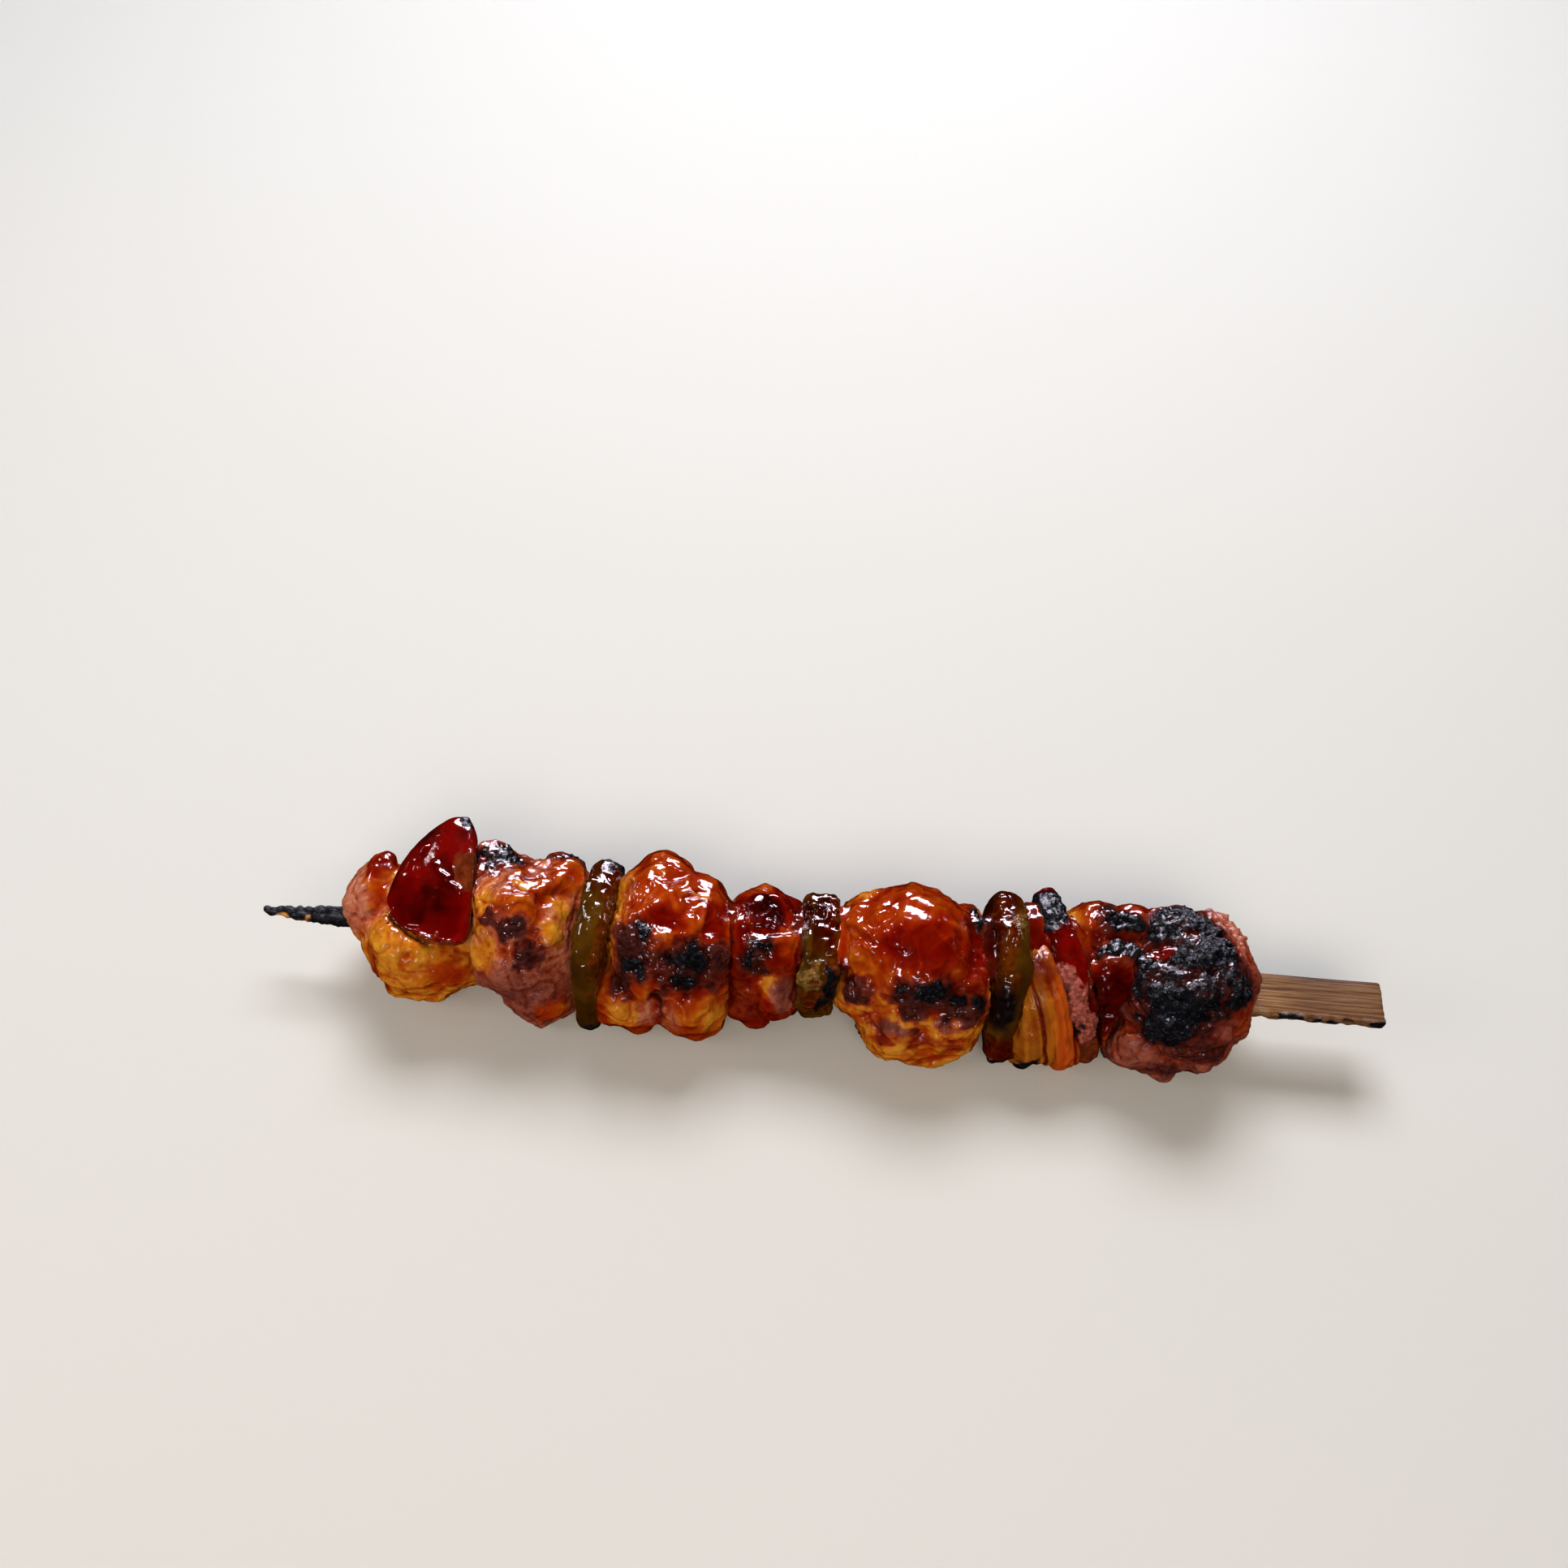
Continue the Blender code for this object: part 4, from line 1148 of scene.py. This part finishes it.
def make_onion_piece(node, seed):
    """The onion wedge, with a step at each layer and fibres along it, and its top darkened, partly as
    sauce and partly as painted shadow.
    """
    skin = Skin(node, joined_mesh(node), FINE_GRAIN, 1.0)
    skin.stretch(2.4, 0.4)
    places = skin.places
    wander = 0.9 * lump_noise(places, 9.0, seed)
    x, y, z = places.T
    across = x + LEAN * y + RISE * (z - STICK_HEIGHT) + wander
    place_in_layer = ((across - FIRST_LAYER) / LAYER) % 1.0
    step = 1.0 - fade(0.0, 0.10, np.minimum(place_in_layer, 1.0 - place_in_layer))
    along_fibre = np.stack([across / FIBRE, y * 0.06, z * 0.06], axis=1)
    fibre = lump_noise(along_fibre, 1.6, seed + 1)
    skin.move(0.5 + 0.12 * fibre - 0.5 * step + 0.25 * lump_noise(places, 3.0, seed + 2))
    stirred_places = stirred(places, seed)
    burnt_tip = patch(stirred_places, (177.6, -17.0, 6.0), (2.4, 2.6, 5.0))
    # the top is darkened red-brown: partly sauce, partly painted shadow of the pepper next to it
    sauced_and_shaded_top = patch(stirred_places, (177.0, -3.0, 27.0), (4.0, 4.4, 4.0))
    skin.mark("layer", np.maximum(step, 0.85 * sauced_and_shaded_top))
    skin.mark("fibre", fade(-0.5, 0.5, fibre))
    skin.mark("orange", fade(ORANGE_FROM, ORANGE_TO, across - LEAN * y * 0.4))
    skin.mark("char", burnt_tip)
    skin.mark_hollows()
    skin.finish(ONION)


make_onion_piece("onion_1", 2000)

# ------------------------------------------------------------------------------------------ stick

BURNT_TO = 30.0  # the tip is burnt this far back
HANDLE_FROM = 225.0  # its edge is nibbled and scorched from here on
TOASTED_FROM, TOASTED_TO = 229.0, 240.0  # where the handle darkens towards its end


def make_stick(seed):
    """The stick: fibrous, crumbly and burnt at the tip, nibbled and scorched along one edge."""
    skin = Skin("skewer_stick", joined_mesh("skewer_stick"), GRAIN, 0.7)
    places = skin.places
    along = places * (0.06, 1.0, 1.0)
    fibres = 0.12 * lump_noise(along, 0.9, seed) + 0.10 * lump_noise(along, 2.2, seed + 1)
    burnt = 1.0 - fade(BURNT_TO - 6.0, BURNT_TO, places[:, 0])
    crumbly = 0.5 * lump_noise(places, 2.2, seed + 2) + 0.35 * lump_noise(places, 1.1, seed + 3)
    edge = fade(3.6, 4.9, -places[:, 1]) * fade(HANDLE_FROM, HANDLE_FROM + 3.0, places[:, 0])
    nibbled = np.minimum(lump_noise(places, 2.6, seed + 4), 0.2) * edge
    skin.move(fibres + burnt * (crumbly + 0.15) + 0.8 * nibbled)
    raw = patch(stirred(places, seed), (7.0, -1.8, 17.0), (4.0, 1.2, 1.8))
    uneven = places[:, 0] + 2.5 * lump_noise(places, 4.0, seed + 5)
    streaks = fade(0.2, 0.6, lump_noise(along, 3.0, seed + 7))
    scorched = 0.9 * edge * fade(-0.1, 0.3, lump_noise(places, 3.0, seed + 6))
    skin.mark("toast", 0.4 * fade(TOASTED_FROM, TOASTED_TO, uneven) + 0.4 * streaks)
    skin.mark("char", np.maximum(burnt * (1.0 - raw), scorched))
    skin.mark("raw", raw)
    skin.finish(BAMBOO)


make_stick(3000)

# ---------------------------------------------------------------- sauce that bridges neighbours

FOOD = [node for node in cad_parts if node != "skewer_stick"]
WEB_REACH = 2.3  # how far the sauce can span from each piece
WEB_GRAIN = 0.7  # spacing of the points on its skin
CLOSING_GRAIN = 0.9  # the same, while the gaps close
WEB_CORE = 5.5  # where there is no gap to fill, it runs this far from the stick's middle
WEB_GAP_SHADE = 0.72  # how far browned it looks between the pools: darker than the pools, as painted shade deep in the gaps

# Where sauce bridges the pieces: how far browned it looks, its middle, and its radii
WEB_POOLS = (
    (0.50, (52.0, 6.0, 28.0), (5.0, 7.0, 6.0)),
    (0.55, (109.0, 6.0, 27.0), (4.0, 9.0, 6.0)),
    (0.60, (124.5, 2.0, 27.0), (4.0, 9.0, 6.0)),
    (0.30, (134.5, 2.0, 28.0), (5.0, 9.0, 6.0)),
    (0.70, (165.5, 2.0, 25.0), (4.0, 9.0, 7.0)),
    (0.55, (175.5, 8.0, 25.0), (4.0, 8.0, 6.0)),
    (0.45, (184.0, 5.0, 25.0), (6.0, 8.0, 6.0)),
    (0.60, (190.0, -3.0, 25.0), (4.0, 9.0, 7.0)),
    (0.70, (198.5, 2.0, 27.0), (4.0, 10.0, 7.0)),
)


def close_gaps(reach):
    """The food's joint skin swollen until the gaps close, then drawn back by as much."""
    web = placed("web_rough", joined_mesh(*FOOD))
    for label, strength in (("swell", reach), ("draw back", -reach)):
        make_even(web, CLOSING_GRAIN)
        shift = web.modifiers.new(label, "DISPLACE")
        shift.mid_level = 0.0
        shift.strength = strength * MM
        soften(web, 3)
    return shaped_mesh(web)


def make_sauce_web(seed):
    """Sauce in the gaps between the pieces, bridging them where it has pooled, and painted dark as
    shade deep in the gaps between the pools.
    """
    skin = Skin("sauce_between_pieces", close_gaps(WEB_REACH), WEB_GRAIN, 1.5)
    solids = joined_mesh(*FOOD)
    corners = [vertex.co.copy() for vertex in solids.vertices]
    tree = BVHTree.FromPolygons(corners, [polygon.vertices[:] for polygon in solids.polygons])
    points = (skin.places * MM + STICK_FRAME).tolist()
    gap = np.array([tree.find_nearest(point)[3] for point in points]) / MM
    stirred_places = stirred(skin.places, seed)
    pooled = np.zeros(skin.count)
    # painted shade: the web starts dark everywhere and is lighter only in the pools
    burn = np.full(skin.count, WEB_GAP_SHADE)
    for browned, centre, radii in WEB_POOLS:
        here = patch(stirred_places, centre, radii, softness=0.9)
        burn = burn * (1.0 - here) + browned * here
        pooled = np.maximum(pooled, here)
    skin.move(0.25 * lump_noise(skin.places, 4.0, seed + 1) - (1.0 - pooled))
    kept = fade(0.1, 0.5, gap) * fade(0.2, 0.6, pooled)
    from_stick = skin.places - (0.0, 0.0, STICK_HEIGHT)
    from_stick[:, 0] = 0.0
    radius = np.linalg.norm(from_stick, axis=1)
    drawn_in = np.minimum(WEB_CORE / radius, 1.0)
    skin.places -= from_stick * ((1.0 - kept) * (1.0 - drawn_in))[:, None]
    skin.write()
    skin.mark("burn", burn)
    # painted shade: between the pools the sauce is painted thicker and darker, to darken the gaps
    skin.mark("sauce", 1.6 - 1.0 * pooled)
    skin.mark("pale", np.zeros(skin.count))
    skin.mark("wet", 0.4 + 0.6 * pooled)
    skin.mark_hollows()
    skin.finish(GRILLED_MEAT)


make_sauce_web(4000)

# ------------------------------------------------------------------------------------ stage, light

FLOOR_HALF = 0.9  # half the floor's side, in metres


def make_floor():
    """A plain pale floor, which the wet food doesn't mirror."""
    mesh = bpy.data.meshes.new("floor")
    low, high = -FLOOR_HALF, FLOOR_HALF
    corners = [(low, low, 0), (high, low, 0), (high, high, 0), (low, high, 0)]
    mesh.from_pydata(corners, [], [(0, 1, 2, 3)])
    material, _, shader, _ = start_material("pale floor")
    shader.inputs["Base Color"].default_value = (0.72, 0.71, 0.69, 1.0)
    shader.inputs["Roughness"].default_value = 0.8
    shader.inputs["Specular IOR Level"].default_value = 0.1
    mesh.materials.append(material)
    floor = placed("floor", mesh)
    floor.visible_glossy = False


def in_world(place):
    """A place in the stick's own frame, as one in the scene's."""
    return Vector(np.array(place) * MM + STICK_FRAME)


def add_softbox(name, place, aim, width, height, watts, colour, mirrored=True, lights=True):
    """A flat lamp that is mirrored in wet food, lights it, or both."""
    light = bpy.data.lights.new(name, "AREA")
    light.shape = "RECTANGLE"
    light.size = width * MM
    light.size_y = height * MM
    light.energy = watts
    light.color = colour
    lamp = placed(name, light)
    lamp.location = in_world(place)
    lamp.rotation_euler = (in_world(place) - in_world(aim)).to_track_quat("Z", "Y").to_euler()
    lamp.visible_glossy = mirrored
    lamp.visible_diffuse = lights


def add_camera():
    """The camera, from CAMERA_PLACE, looking down by CAMERA_HEIGHT."""
    turn, height = radians(CAMERA_TURN), radians(CAMERA_HEIGHT)
    back = Vector((sin(turn) * cos(height), -cos(turn) * cos(height), sin(height)))
    right = Vector((cos(turn), sin(turn), 0.0))
    up = back.cross(right)
    lens = bpy.data.cameras.new("camera")
    lens.lens = CAMERA_LENS
    lens.sensor_width = 36.0
    lens.clip_start = 0.01
    camera = placed("camera", lens)
    turned = Matrix((right, up, back)).transposed().to_4x4()
    camera.matrix_world = Matrix.Translation(in_world(CAMERA_PLACE)) @ turned
    bpy.context.scene.camera = camera


PANES_FACE = (125, 0, 15)
BACK_WINDOW = (185, 370, 8.8, (0.88, 0.83, 1.0))

# The panes that the wet food mirrors: place, width, height, watts and colour
PANES = {
    "left back window": ((-120, 900, 480), *BACK_WINDOW),
    "back window": ((110, 900, 480), *BACK_WINDOW),
    "right back window": ((340, 900, 480), *BACK_WINDOW),
    "side window": ((-700, 380, 720), 220, 220, 2.8, (0.97, 0.96, 1.0)),
    "bright pane": ((-160, 860, 560), 160, 90, 2.6, (1.0, 1.0, 1.0)),
    "front pane": ((-60, -800, 480), 190, 110, 1.8, (0.92, 0.90, 1.0)),
}

# The boxes that light the scene and aren't mirrored: place, aim, width, height, watts and colour
BOXES = {
    "back light": ((120, 620, 760), (125, 0, 0), 560, 360, 7.6, (0.94, 0.96, 1.0)),
    "front fill": ((160, -620, 820), (125, 0, 0), 800, 500, 4.6, (1.0, 0.88, 0.72)),
    "left fill": ((-460, -160, 420), (125, 0, 10), 300, 300, 0.8, (1.0, 0.95, 0.88)),
}

make_floor()
for name, (place, *values) in PANES.items():
    add_softbox(name, place, PANES_FACE, *values, lights=False)
for name, values in BOXES.items():
    add_softbox(name, *values, mirrored=False)
add_camera()
world = bpy.data.worlds.new("room")
world.use_nodes = True
world.node_tree.nodes["Background"].inputs["Color"].default_value = (0.93, 0.95, 1.0, 1.0)
world.node_tree.nodes["Background"].inputs["Strength"].default_value = 0.14
bpy.context.scene.world = world
world.cycles_visibility.glossy = False  # the wet food mirrors the panes alone
view = bpy.context.scene.view_settings
view.view_transform = "Standard"
view.exposure = 0.1
view.gamma = 0.9
